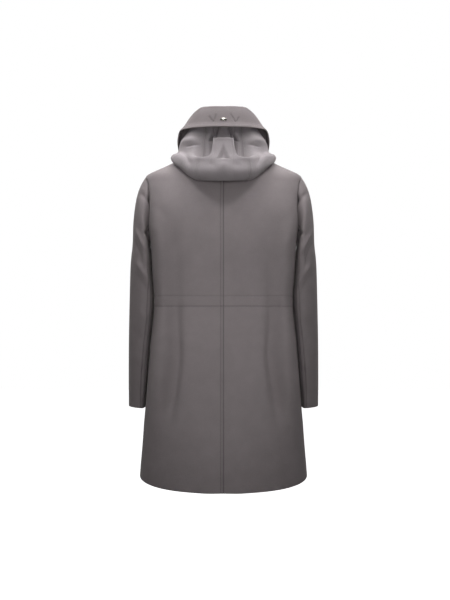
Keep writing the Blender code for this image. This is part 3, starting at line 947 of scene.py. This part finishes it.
def hood_relief(x, z):
    """The pushed-in cloth above the hood's ledge, the triangle between its legs, creases and puffs."""
    across = np.abs(x)
    step = 0.0005
    ledge = HOOD_LEDGE.at("height", across)
    slope = (HOOD_LEDGE.at("height", across + step) - HOOD_LEDGE.at("height", across - step)) / (2 * step)
    above = (z - ledge) / np.sqrt(1 + slope**2)
    push = LEDGE_PUSH_LOW + (LEDGE_PUSH_HIGH - LEDGE_PUSH_LOW) * ease(above / LEDGE_CLIMB)
    inward = 1 - ease((across - PUSH_SIDE) / PUSH_SIDE_FADE)
    push = push * inward * ease(above / LEDGE_SOFT) * ease((PUSH_TOP - z) / PUSH_FADE)
    slant = TRIANGLE_HALF / (TRIANGLE_TOP - TRIANGLE_BASE)
    from_leg = (slant * (TRIANGLE_TOP - z) - across) / math.hypot(1, slant)
    down = np.clip((TRIANGLE_TOP - z) / (TRIANGLE_TOP - TRIANGLE_BASE), 0, 1)
    hollow = TRIANGLE_DEPTH * down * ease(np.minimum(from_leg, z - TRIANGLE_BASE) / TRIANGLE_SOFT)
    rim = LEDGE_RIM * inward * bump(above, LEDGE_RIM_WIDTH)
    total = rim - push - hollow + creases(x, z, HOOD_CREASES.rows)
    for puff in HOOD_PUFFS.each():
        wide = (x - puff["x"]) / puff["half_wide"]
        tall = (z - puff["z"]) / puff["half_tall"]
        total += puff["height"] * np.exp(-(wide**2) - tall**2)
    return total


def sunk_rolls(grid, outer):
    """A hood panel with its side roll sunk: fully at its top, and less where it lies behind the coat."""
    sunk = grid.copy()
    x, y, z = np.moveaxis(grid, -1, 0)
    behind = ROLL_SINK_BEHIND * ease((ROLL_BACK - y) / ROLL_BACK_FADE)
    top = ease((z - ROLL_FOOT) / ROLL_FOOT_FADE)
    at_side = ease((np.abs(x) - ROLL_SINK_FROM) / ROLL_SINK_FADE)
    sunk[..., 2] -= ROLL_SINK * outer * at_side * np.maximum(behind, top)
    return sunk


def turned_edge(grid, facing, width):
    """The grid with its last row turned in round a small radius and laid back along the inside."""
    normal = normals_of(grid, facing)
    edge = grid[-1]
    out = normal[-1]
    onward = unit(grid[-1] - grid[-2])
    rows = []
    for angle in np.radians(TURN_ANGLES):
        rows.append(edge + EDGE_RADIUS * (np.sin(angle) * onward - (1 - np.cos(angle)) * out))
    for share in np.linspace(0, 1, TURN_ROWS + 1)[1:]:
        rows.append(edge - 2 * EDGE_RADIUS * out - share * width * onward)
    return np.concatenate([grid, np.array(rows)])


def lengths_of(grid):
    """Each point's place along and across its cloth, in metres, for the weave."""
    across = run_from(grid, 1, "first")
    along = run_from(grid, 0, "first")
    return np.stack([across, np.broadcast_to(along[:, [along.shape[1] // 2]], across.shape)], axis=-1)


def grid_faces(rows, columns):
    """The four corners of every face of a grid."""
    corner = (np.arange(rows - 1)[:, None] * columns + np.arange(columns - 1)).ravel()
    return np.stack([corner, corner + 1, corner + columns + 1, corner + columns], axis=1)


# Blender objects


def place(name, data):
    """An object that shows this data, linked to the scene."""
    shown = bpy.data.objects.new(name, data)
    bpy.context.scene.collection.objects.link(shown)
    return shown


def settled(raw, name):
    """The plain mesh that an object's modifiers make. The object itself is removed."""
    mesh = bpy.data.meshes.new_from_object(raw.evaluated_get(bpy.context.evaluated_depsgraph_get()))
    bpy.data.objects.remove(raw)
    mesh.name = name
    return mesh


def make_cloth(name, grid, facing, painted_seam_shade, material):
    """A cloth piece: the grid's faces with their weave lengths and painted seam shade, thickened to a wall.
    """
    rows, columns = grid.shape[:2]
    faces = grid_faces(rows, columns)
    if facing < 0:
        faces = faces[:, ::-1]
    mesh = bpy.data.meshes.new(name)
    mesh.from_pydata(grid.reshape(-1, 3).tolist(), [], faces.tolist())
    lengths = lengths_of(grid).reshape(-1, 2)[faces.ravel()]
    mesh.uv_layers.new(name="weave").data.foreach_set("uv", lengths.astype(np.float32).ravel())
    painted_seam_shade = np.pad(painted_seam_shade, ((0, rows - painted_seam_shade.shape[0]), (0, 0)))
    # Each point's painted shade of the seam and stitch grooves, kept for the cloth's colour
    shade_in_seams = mesh.attributes.new("painted_seam_shade", "FLOAT", "POINT")
    shade_in_seams.data.foreach_set("value", painted_seam_shade.astype(np.float32).ravel())
    mesh.materials.append(material)
    raw = place(name + "_raw", mesh)
    wall = raw.modifiers.new("cloth wall", "SOLIDIFY")
    wall.thickness = CLOTH
    wall.offset = 0
    solid = settled(raw, name)
    solid.shade_smooth()
    solid.set_sharp_from_angle(angle=math.radians(CLOTH_SHARP))
    piece = place(name, solid)
    return piece


# Materials


def linear(hex_colour):
    """A colour given as sRGB hex, in linear red, green, blue and alpha."""
    parts = [int(hex_colour[at : at + 2], 16) / 255 for at in (1, 3, 5)]
    return (*[part / 12.92 if part <= 0.04045 else ((part + 0.055) / 1.055) ** 2.4 for part in parts], 1)


def feed(tree, node, inputs):
    """Fills a node's inputs, by socket name or number, each with a value or a link from a socket."""
    for name, value in inputs.items():
        if isinstance(value, bpy.types.NodeSocket):
            tree.links.new(value, node.inputs[name])
        else:
            node.inputs[name].default_value = value


def add(tree, kind, inputs=None, **settings):
    """Adds a node with its settings and its inputs."""
    node = tree.nodes.new(kind)
    for name, value in settings.items():
        setattr(node, name, value)
    feed(tree, node, inputs or {})
    return node


def mix(tree, factor, first, second, **settings):
    """A colour between two others, each a hex colour or a socket."""
    ends = [linear(end) if isinstance(end, str) else end for end in (first, second)]
    inputs = {"Factor": factor, 6: ends[0], 7: ends[1]}
    return add(tree, "ShaderNodeMix", inputs, data_type="RGBA", **settings).outputs[2]


def noise(tree, vector, patch, detail, roughness):
    """Uneven patches about this many metres wide."""
    inputs = {"Vector": vector, "Scale": 1 / patch, "Detail": detail, "Roughness": roughness}
    return add(tree, "ShaderNodeTexNoise", inputs).outputs["Fac"]


# A wave texture repeats at this length when its scale is 1
WAVE_PERIOD = 2 * math.pi / 20


def ribs(tree, vector, spacing, distortion):
    """Slanting ribs this many metres apart."""
    inputs = {"Vector": vector, "Scale": WAVE_PERIOD / spacing, "Distortion": distortion}
    made = add(tree, "ShaderNodeTexWave", inputs, wave_type="BANDS", bands_direction="DIAGONAL")
    return made.outputs["Fac"]


def between(tree, value, low, high, to_low, to_high):
    """The value moved from one range to another."""
    inputs = {"Value": value, "From Min": low, "From Max": high, "To Min": to_low, "To Max": to_high}
    return add(tree, "ShaderNodeMapRange", inputs).outputs["Result"]


def raised(tree, height, strength, distance):
    """The normal of a surface with this fine relief."""
    inputs = {"Strength": strength, "Distance": distance, "Height": height}
    return add(tree, "ShaderNodeBump", inputs).outputs["Normal"]


def object_place(tree):
    return add(tree, "ShaderNodeTexCoord").outputs["Object"]


def new_material(name):
    material = bpy.data.materials.new(name)
    material.use_nodes = True
    return material, material.node_tree, material.node_tree.nodes["Principled BSDF"]


# Thread spacing of the twill, a clump of its nap, and a patch of uneven dye, in metres. The real threads
# lie 0.4 mm apart. They are drawn at 1.4 mm, because finer ones vanish at the picture's 3 mm to a pixel.
TWILL_SPACING = 0.0014
NAP_CLUMP = 0.0022
DYE_PATCH = 0.045


def bonded_twill(name, light_colour, dark_colour, painted_shade_colour):
    """Bonded cotton twill: matte and faintly ribbed, with a soft nap, slightly uneven dye and painted shade
    in its seams.
    """
    material, tree, shader = new_material(name)
    weave = add(tree, "ShaderNodeUVMap", uv_map="weave").outputs["UV"]
    patches = noise(tree, object_place(tree), DYE_PATCH, detail=5.0, roughness=0.62)
    nap = noise(tree, weave, NAP_CLUMP, detail=3.0, roughness=0.6)
    rib = ribs(tree, weave, TWILL_SPACING, distortion=1.2)
    dyed = mix(tree, patches, dark_colour, light_colour)
    worn = mix(tree, nap, dyed, light_colour, blend_type="SOFT_LIGHT")
    shade_in_seams = add(tree, "ShaderNodeAttribute", attribute_name="painted_seam_shade").outputs["Fac"]
    height = add(tree, "ShaderNodeMath", {0: rib, 1: nap}, operation="ADD").outputs["Value"]
    feed(tree, shader, {
        # Painted shade: the colour darkens towards the shade colour along the seam and stitch grooves, as
        # deep as they are pressed
        "Base Color": mix(tree, shade_in_seams, worn, painted_shade_colour),
        "Roughness": between(tree, nap, low=0.3, high=0.7, to_low=0.80, to_high=0.94),
        "Normal": raised(tree, height, strength=0.35, distance=0.0004),
        "Specular IOR Level": 0.25,
        "Sheen Weight": 0.18,
        "Sheen Roughness": 0.45,
        "Sheen Tint": linear("#D8D2CE"),
    })
    return material


# The length of one turn of the thread's two plies, in metres
PLY_TWIST = 0.0016


def polyester_thread():
    """Spun polyester sewing thread: a little smoother than the cloth, its twist drawn as slanting lines."""
    material, tree, shader = new_material("polyester_thread")
    twist = ribs(tree, object_place(tree), PLY_TWIST, distortion=0.6)
    feed(tree, shader, {
        "Base Color": mix(tree, twist, "#6E6866", "#8A8380"),
        "Roughness": 0.6,
        "Normal": raised(tree, twist, strength=0.4, distance=0.0002),
        "Sheen Weight": 0.1,
    })
    return material


# Width of the fine lines that polishing leaves on the stud, in metres
POLISH_LINE = 0.0006


def nickel_plate():
    """Nickel-plated brass, tumbled bright: a warm grey mirror with faint rubbed lines and dull spots."""
    material, tree, shader = new_material("nickel_plate")
    rubbed = noise(tree, object_place(tree), POLISH_LINE, detail=4.0, roughness=0.7)
    feed(tree, shader, {
        "Base Color": mix(tree, rubbed, "#938F8A", "#B0ACA6"),
        "Roughness": between(tree, rubbed, low=0.35, high=0.7, to_low=0.08, to_high=0.18),
        "Metallic": 1.0,
    })
    return material


def floor_paint():
    """White studio paint: matte and softly glowing, with broad patches that are barely greyer."""
    material, tree, shader = new_material("white_floor_paint")
    patches = noise(tree, object_place(tree), FLOOR_PATCH, detail=2.0, roughness=0.5)
    feed(tree, shader, {
        "Base Color": mix(tree, patches, "#F4F4F4", "#FAFAFA"),
        "Roughness": 0.9,
        "Emission Color": linear("#FFFFFF"),
        "Emission Strength": FLOOR_GLOW,
    })
    return material


# Light, floor and camera


def make_camera():
    data = bpy.data.cameras.new("camera")
    data.angle = 2 * math.atan(PICTURE_TALL / 2 * METRES_PER_PIXEL / CAMERA_AWAY)
    camera = place("camera", data)
    camera.location = (CAMERA_X, -CAMERA_AWAY, CAMERA_Z)
    camera.rotation_euler = (math.pi / 2, 0, 0)
    bpy.context.scene.camera = camera


FLOOR_HEIGHT = -1.40
FLOOR_HALF = 9.0
FLOOR_PATCH = 0.35
FLOOR_GLOW = 0.92
BACKGROUND_WHITE = 1.0
FILL_LIGHT = 0.23

# Soft lamps: a tall beam square on the back, a beam to each side of it and a lower pair, one outside each
# shoulder, one for each side of the hood, one above the hood, one for the collar, a wide one overhead and
# one over the front. Spread is the angle of the beam in degrees.
LIGHTS = Table(
    "x y z aim_x aim_y aim_z wide tall spread watts",
    (0.00, -2.00, -0.50, 0.00, -0.10, -0.50, 0.25, 1.10, 20, 0.43),
    (-0.45, -1.90, -0.32, -0.15, -0.10, -0.32, 0.15, 0.50, 16, 0.095),
    (0.45, -1.90, -0.32, 0.15, -0.10, -0.32, 0.15, 0.50, 16, 0.095),
    (-0.45, -1.90, -0.68, -0.15, -0.10, -0.66, 0.15, 0.30, 13, 0.03),
    (0.45, -1.90, -0.68, 0.15, -0.10, -0.66, 0.15, 0.30, 13, 0.03),
    (-0.55, -0.45, 0.85, -0.20, -0.03, -0.08, 0.25, 0.25, 24, 0.052),
    (0.55, -0.45, 0.85, 0.20, -0.03, -0.08, 0.25, 0.25, 24, 0.052),
    (-0.60, -0.45, 0.65, -0.135, -0.09, -0.02, 0.20, 0.20, 17, 0.106),
    (0.60, -0.45, 0.65, 0.135, -0.09, -0.02, 0.20, 0.20, 17, 0.102),
    (0.00, -0.50, 0.85, 0.00, -0.15, 0.00, 0.40, 0.25, 30, 0.02),
    (0.00, -1.10, 0.55, 0.00, -0.10, 0.10, 0.45, 0.10, 10, 0.036),
    (0.00, -0.25, 1.40, 0.00, -0.05, -0.30, 1.20, 0.60, 180, 27.4),
    (0.00, 0.90, 1.30, 0.00, 0.00, -0.30, 1.80, 0.90, 180, 6.00),
)


def make_lamps():
    for row in LIGHTS.each():
        data = bpy.data.lights.new("soft light", "AREA")
        data.shape = "RECTANGLE"
        data.size = row["wide"]
        data.size_y = row["tall"]
        data.spread = math.radians(row["spread"])
        data.energy = row["watts"]
        lamp = place("soft light", data)
        lamp.location = (row["x"], row["y"], row["z"])
        aim = Vector((row["aim_x"], row["aim_y"], row["aim_z"])) - lamp.location
        lamp.rotation_mode = "QUATERNION"
        lamp.rotation_quaternion = aim.to_track_quat("-Z", "Y")


def make_studio():
    """A white room: soft lamps round the coat, a faint fill and a pale floor well below the hem."""
    bpy.context.scene.view_settings.view_transform = "Standard"
    world = bpy.data.worlds.new("studio")
    bpy.context.scene.world = world
    world.use_nodes = True
    tree = world.node_tree
    fill = tree.nodes["Background"]
    feed(tree, fill, {"Color": linear("#FFFFFF"), "Strength": FILL_LIGHT})
    white = add(tree, "ShaderNodeBackground", {"Color": linear("#FFFFFF"), "Strength": BACKGROUND_WHITE})
    seen = add(tree, "ShaderNodeLightPath").outputs["Is Camera Ray"]
    both = add(tree, "ShaderNodeMixShader", {0: seen, 1: fill.outputs[0], 2: white.outputs[0]})
    feed(tree, tree.nodes["World Output"], {"Surface": both.outputs["Shader"]})
    make_lamps()
    around = ((-1, -1), (1, -1), (1, 1), (-1, 1))
    corners = [(x * FLOOR_HALF, y * FLOOR_HALF, FLOOR_HEIGHT) for x, y in around]
    mesh = bpy.data.meshes.new("floor")
    mesh.from_pydata(corners, [], [(0, 1, 2, 3)])
    mesh.materials.append(floor_paint())
    floor = place("floor", mesh)
    floor.visible_diffuse = False
    floor.visible_glossy = False


# Stitches and the stud


def sewn_row(grid, facing, keys, value, axis=1):
    """The line on the cloth's outer face where the keys, along each row or column, reach this value."""
    face = np.moveaxis(grid + CLOTH / 2 * normals_of(grid, facing), axis, 1)
    line = []
    for points, run in zip(face, np.moveaxis(keys, axis, 1)):
        order = np.argsort(run)
        line.append([np.interp(value, run[order], points[order, i]) for i in range(3)])
    return np.array(line)


def line_on_back(grid, start_x, start_z, end_x, end_z):
    """A straight line drawn on the cloth as it is seen from behind."""
    faces = grid_faces(*grid.shape[:2])
    tree = BVHTree.FromPolygons(grid.reshape(-1, 3).tolist(), faces.tolist())
    line = []
    for share in np.linspace(0, 1, DRAWN_POINTS):
        eye = Vector((start_x + share * (end_x - start_x), EYE_Y, start_z + share * (end_z - start_z)))
        point, normal = tree.ray_cast(eye, Vector((0, 1, 0)))[:2]
        out = normal if normal.y < 0 else -normal
        line.append(np.array(point + out * CLOTH / 2))
    return np.array(line)


def stitch_tree(material):
    """Geometry nodes that lay a stitch at every pitch along the sewn lines."""
    tree = bpy.data.node_groups.new("stitches", "GeometryNodeTree")
    tree.interface.new_socket("Lines", in_out="INPUT", socket_type="NodeSocketGeometry")
    for name in ("Pitch", "Length", "Thread"):
        tree.interface.new_socket(name, in_out="INPUT", socket_type="NodeSocketFloat")
    tree.interface.new_socket("Stitches", in_out="OUTPUT", socket_type="NodeSocketGeometry")
    given = add(tree, "NodeGroupInput").outputs
    curve = add(tree, "GeometryNodeMeshToCurve", {"Mesh": given["Lines"]}).outputs["Curve"]
    pitched = {"Curve": curve, "Length": given["Pitch"]}
    even = add(tree, "GeometryNodeResampleCurve", pitched, mode="LENGTH").outputs["Curve"]
    tangent = add(tree, "GeometryNodeInputTangent").outputs["Tangent"]
    turn = add(tree, "FunctionNodeAlignRotationToVector", {"Vector": tangent}, axis="Z").outputs["Rotation"]
    ball = add(tree, "GeometryNodeMeshUVSphere", {"Segments": 6, "Rings": 5, "Radius": 0.5}).outputs["Mesh"]
    sides = {"X": given["Thread"], "Y": given["Thread"], "Z": given["Length"]}
    size = add(tree, "ShaderNodeCombineXYZ", sides).outputs["Vector"]
    stitch = {"Points": even, "Instance": ball, "Rotation": turn, "Scale": size}
    laid = add(tree, "GeometryNodeInstanceOnPoints", stitch).outputs["Instances"]
    real = add(tree, "GeometryNodeRealizeInstances", {"Geometry": laid}).outputs["Geometry"]
    smooth = add(tree, "GeometryNodeSetShadeSmooth", {"Geometry": real}).outputs["Geometry"]
    made = add(tree, "GeometryNodeSetMaterial", {"Geometry": smooth, "Material": material})
    add(tree, "NodeGroupOutput", {"Stitches": made.outputs["Geometry"]})
    return tree


def make_stitches(lines, material):
    """Every row of topstitching, as one plain mesh."""
    points = np.concatenate(lines)
    ends = np.cumsum([len(line) for line in lines])
    edges = [(i, i + 1) for i in range(len(points) - 1) if i + 1 not in ends]
    mesh = bpy.data.meshes.new("sewn_lines")
    mesh.from_pydata(points.tolist(), edges, [])
    raw = place("sewn_lines", mesh)
    tree = stitch_tree(material)
    sewing = raw.modifiers.new("stitches", "NODES")
    sewing.node_group = tree
    sizes = {"Pitch": STITCH_PITCH, "Length": STITCH_LENGTH, "Thread": THREAD}
    for socket in tree.interface.items_tree:
        if socket.name in sizes:
            sewing[socket.identifier] = sizes[socket.name]
    return place("topstitching", settled(raw, "topstitching"))


def make_stud(collar, material):
    """A plain oval stud: a low dome in a stepped rim, seated on the fall of the collar."""
    low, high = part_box("collar_stud")
    seat = line_on_back(collar, STUD_X, STUD_HEIGHT - STUD_SEAT, STUD_X, STUD_HEIGHT + STUD_SEAT)
    up = unit(seat[-1] - seat[0])
    out = np.array([0.0, -up[2], up[1]])
    middle = (np.array(low) + np.array(high)) / 2
    foot = middle + out * (np.dot(seat[DRAWN_POINTS // 2] - middle, out) + SEAM_GAP)
    around = np.linspace(0, 2 * np.pi, STUD_SIDES + 1)[:-1]
    rings = []
    for row in STUD_PROFILE.each():
        wide = np.cos(around)[:, None] * row["share"] * STUD_WIDTH / 2 * np.array([1.0, 0, 0])
        tall = np.sin(around)[:, None] * row["share"] * STUD_TALL / 2 * up
        rings.append(foot + wide + tall + row["out"] * STUD_DEEP * out)
    corner = np.arange(len(rings) * STUD_SIDES).reshape(-1, STUD_SIDES)
    beside = np.roll(corner, -1, axis=1)
    faces = np.stack([corner[:-1], beside[:-1], beside[1:], corner[1:]], axis=-1).reshape(-1, 4).tolist()
    faces += [corner[0, ::-1].tolist(), corner[-1].tolist()]
    mesh = bpy.data.meshes.new("stud_cap")
    mesh.from_pydata(np.concatenate(rings).tolist(), [], faces)
    mesh.shade_smooth()
    mesh.set_sharp_from_angle(angle=math.radians(STUD_SHARP))
    mesh.materials.append(material)
    return place("stud_cap", mesh)


# The pieces


def dress(grid, facing, relief, marks):
    """The grid with its relief raised along the normals, and painted shade as far as sewing presses it, 0 to
    1.
    """
    # Seam and stitch grooves get painted shade, full where a groove is as deep as a seam's dip
    painted_seam_shade = np.clip(-sum(marks) / SEAM_DIP, 0, 1)
    return grid + (relief + sum(marks))[..., None] * normals_of(grid, facing), painted_seam_shade


def dress_body(grid, angles, facing, trough_table, crease_table, stitched):
    """A back or front half with its seams, channel, troughs and creases."""
    from_side = run_from(grid, 1, "first")
    grid = armhole_valley(grid, body_heights(angles)[:, None], bump(from_side, VALLEY_ON_BODY))
    x, z = grid[..., 0], grid[..., 2]
    at_corner = bump(np.abs(x) / BODY.at("half_width", z) - SIDE_SHARE, SIDE_SPAN)
    grid = filled_out(grid, SIDE.at("full", z) * at_corner * ease(from_side / SIDE_REACH))
    relief = troughs(x, z, trough_table) + creases(x, z, crease_table.rows) + waist_channel(z)
    relief -= LEAN.at("press", z) * bump(from_side, PRESS_REACH)
    from_centre = run_from(grid, 1, "last")
    from_neck = run_from(grid, 0, "last")
    marks = [seam_dip(from_side), seam_dip(from_centre), seam_dip(from_neck)]
    marks += [CHANNEL_TOP_SHARE * sewn_line(z - CHANNEL_TOP), sewn_line(z - CHANNEL_BOTTOM)]
    if stitched:
        marks.append(sewn_line(from_centre - CENTRE_STITCH))
    return dress(grid, facing, relief, marks)


def dress_sleeve(grid, angles, side, stitched):
    """A half of a sleeve with its seams and creases."""
    from_head = run_from(grid, 0, "first")
    grid = armhole_valley(grid, armhole_heights(angles), np.exp(-from_head / VALLEY_ON_SLEEVE))
    away = 1 - np.exp(-run_from(grid, 0, "first") / HEAD_REACH)
    at_head = away * bump(angles - HEAD_ANGLE, HEAD_SPAN)
    grid = filled_out(grid, HEAD_FULL.at("full", grid[..., 2]) * at_head)
    z = grid[..., 2]
    gain, shift = (RIGHT_SLEEVE_GAIN, RIGHT_SLEEVE_SHIFT) if side > 0 else (1, 0)
    table = SLEEVE_CREASES.rows * [METRES_PER_DEGREE, 1, METRES_PER_DEGREE, 1, 1, 1, gain]
    table = table + [0, shift, 0, shift, 0, 0, 0]
    around = np.broadcast_to(angles * METRES_PER_DEGREE, grid.shape[:2])
    at_back = np.clip(np.sin(np.radians(angles)), 0, 1)
    relief = creases(around, z, table) + at_back * creases(np.abs(grid[..., 0]), z, HEAD_CREASES.rows)
    relief += LEAN.at("lean", z) * bump(angles - LEAN_ANGLE, LEAN_SPAN)
    grid = filled_out(grid, CORNER.at("full", z) * bump(angles - CORNER_ANGLE, CORNER_SPAN))
    from_last = run_from(grid, 1, "last")
    marks = [seam_dip(run_from(grid, 1, "first")), seam_dip(from_last), seam_dip(run_from(grid, 0, "first"))]
    if stitched:
        marks.append(SLEEVE_SEWN_SHARE * sewn_line(from_last - SLEEVE_STITCH))
    return dress(grid, side, relief, marks)


def dress_hood(grid, facing, seams):
    """A panel of the hood with its relief on the outer wall, its seams and its sewn rows."""
    rows = np.arange(grid.shape[0])
    fold_row = np.argmin(grid[..., 2], axis=0)
    outer = ease((rows[:, None] - fold_row - OUTER_FROM) / OUTER_FADE)
    grid = sunk_rolls(grid, outer)
    relief = outer * hood_relief(grid[..., 0], grid[..., 2])
    rise = ease((grid[..., 2] - HOOD_SEAM_CHANGE) / HOOD_SEAM_FADE)
    share = HOOD_SEAM_LOW + (HOOD_SEAM_SHARE - HOOD_SEAM_LOW) * rise
    marks = []
    for end in seams:
        run = run_from(grid, 1, end)
        marks += [share * seam_dip(run), share * sewn_line(run - HOOD_STITCH)]
    return dress(grid, facing, relief, marks)


def make_side(side, label, grids, cloth, lines):
    """One side's back, front and sleeve, by node. Their rows of stitching are added to the lines."""
    back, front, upper, under = grids
    made = {}
    for name, grid, angles, facing, trough_table, crease_table, stitched in (
        ("back", back, BACK_ANGLES, -side, BACK_TROUGHS, BACK_CREASES, side < 0),
        ("front", front, FRONT_ANGLES, side, FRONT_TROUGHS, FRONT_CREASES, False),
    ):
        grid, painted_seam_shade = dress_body(grid, angles, facing, trough_table, crease_table, stitched)
        low = grid[: LOW_ROWS + 1]
        for height in (CHANNEL_TOP, CHANNEL_BOTTOM):
            lines.append(sewn_row(low, facing, low[..., 2], height, 0))
        if stitched:
            lines.append(sewn_row(grid, facing, run_from(grid, 1, "last"), CENTRE_STITCH))
        hemmed = turned_edge(grid[::-1], -facing, HEM_TURN)
        made[f"{name}_{label}"] = make_cloth(
            f"{name}_panel_{label}", hemmed, -facing, painted_seam_shade[::-1], cloth
        )
    for name, (grid, angles), stitched in (("upper", upper, True), ("under", under, False)):
        grid, painted_seam_shade = dress_sleeve(grid, angles, side, stitched)
        if stitched:
            lines.append(sewn_row(grid, side, run_from(grid, 1, "last"), SLEEVE_STITCH))
        cuffed = turned_edge(grid, side, CUFF_TURN)
        made[f"sleeve_{name}_{label}"] = make_cloth(
            f"{name}_sleeve_{label}", cuffed, side, painted_seam_shade, cloth
        )
    return made


def make_collar(grid, cloth, lines):
    """The collar with its flared edge, sewn rows and darts. Also gives the grid that seats the stud."""
    grid = even_columns(grid, COLLAR_STEP, DART_PLACES, DART_STEP, DART_REACH)
    from_edge = run_from(grid, 0, "last")
    fall = np.arange(grid.shape[0])[:, None] > np.argmax(grid[..., 2], axis=0)
    dart_rows = [(*row, 0, DART_WIDTH, -DART_DEPTH) for row in COLLAR_DARTS.rows]
    marks = [COLLAR_SEWN_SHARE * sewn_line(from_edge - inset) for inset in COLLAR_STITCHES]
    marks.append(fall * creases(grid[..., 0], grid[..., 2], dart_rows, DART_TAPER))
    grid, painted_seam_shade = dress(grid, -1, COLLAR_FLARE * bump(from_edge, COLLAR_FLARE_WIDTH), marks)
    from_edge = run_from(grid, 0, "last")
    lines += [sewn_row(grid, -1, from_edge, inset, 0) for inset in COLLAR_STITCHES]
    lines += [line_on_back(grid, *row) for row in COLLAR_DARTS.rows]
    edged = turned_edge(grid, -1, COLLAR_TURN)
    return grid, make_cloth("collar_cloth", edged, -1, painted_seam_shade, cloth)


def make_hood(cloth, lines):
    """The hood's three panels, by node."""
    centre, right, left = hood_grids()
    made = {}
    for node, grid, facing, seams in (
        ("hood_centre", centre, 1, ("first", "last")),
        ("hood_side_right", right, 1, ("first",)),
        ("hood_side_left", left, -1, ("first",)),
    ):
        grid, painted_seam_shade = dress_hood(grid, facing, seams)
        lines += [sewn_row(grid, facing, run_from(grid, 1, end), HOOD_STITCH) for end in seams]
        mouth = turned_edge(grid, facing, MOUTH_TURN)
        made[node] = make_cloth(node + "_cloth", mouth, facing, painted_seam_shade, cloth)
    return made


def make_fly(cloth, lines):
    """The fly strip down the front, with its sewn rows."""
    grid = fly_grid()
    from_edge = run_from(grid, 1, "last")
    marks = [FLY_SEWN_SHARE * sewn_line(from_edge - inset) for inset in FLY_STITCHES]
    grid, painted_seam_shade = dress(grid, 1, waist_channel(grid[..., 2]), marks)
    lines += [sewn_row(grid, 1, run_from(grid, 1, "last"), inset) for inset in FLY_STITCHES]
    return make_cloth("fly_strip", grid, 1, painted_seam_shade, cloth)


def main():
    make_camera()
    make_studio()
    # The last colour of each cloth is the painted shade of its seam and stitch grooves
    coat_cloth = bonded_twill("bonded_cotton_twill", "#8E8889", "#7F797A", "#565152")
    # The hood's copy of the twill is painted lighter to stand for the light on the hood, and is a little
    # cooler
    hood_cloth_painted_lighter = bonded_twill("bonded_cotton_twill_painted_lighter_hood", "#959092", "#868183", "#565253")
    grids = {side: side_grids(side) for side in (1, -1)}
    for panel in (0, 1):
        part_seam(last_columns(grids[1][panel]), last_columns(grids[-1][panel]))
    collar = collar_grid()
    for side in (1, -1):
        part_neckline(grids[side][0], grids[side][1], collar, side)
    lines = []
    made = {}
    for side, label in ((1, "right"), (-1, "left")):
        made.update(make_side(side, label, grids[side], coat_cloth, lines))
    collar, made["collar"] = make_collar(collar, coat_cloth, lines)
    made.update(make_hood(hood_cloth_painted_lighter, lines))
    made["front_fly"] = make_fly(coat_cloth, lines)
    for node, piece in made.items():
        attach(piece, "root")
        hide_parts(node)
    stitches = make_stitches(lines, polyester_thread())
    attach(stitches, "root")
    stud = make_stud(collar, nickel_plate())
    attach(stud, "root")
    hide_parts("collar_stud")


main()
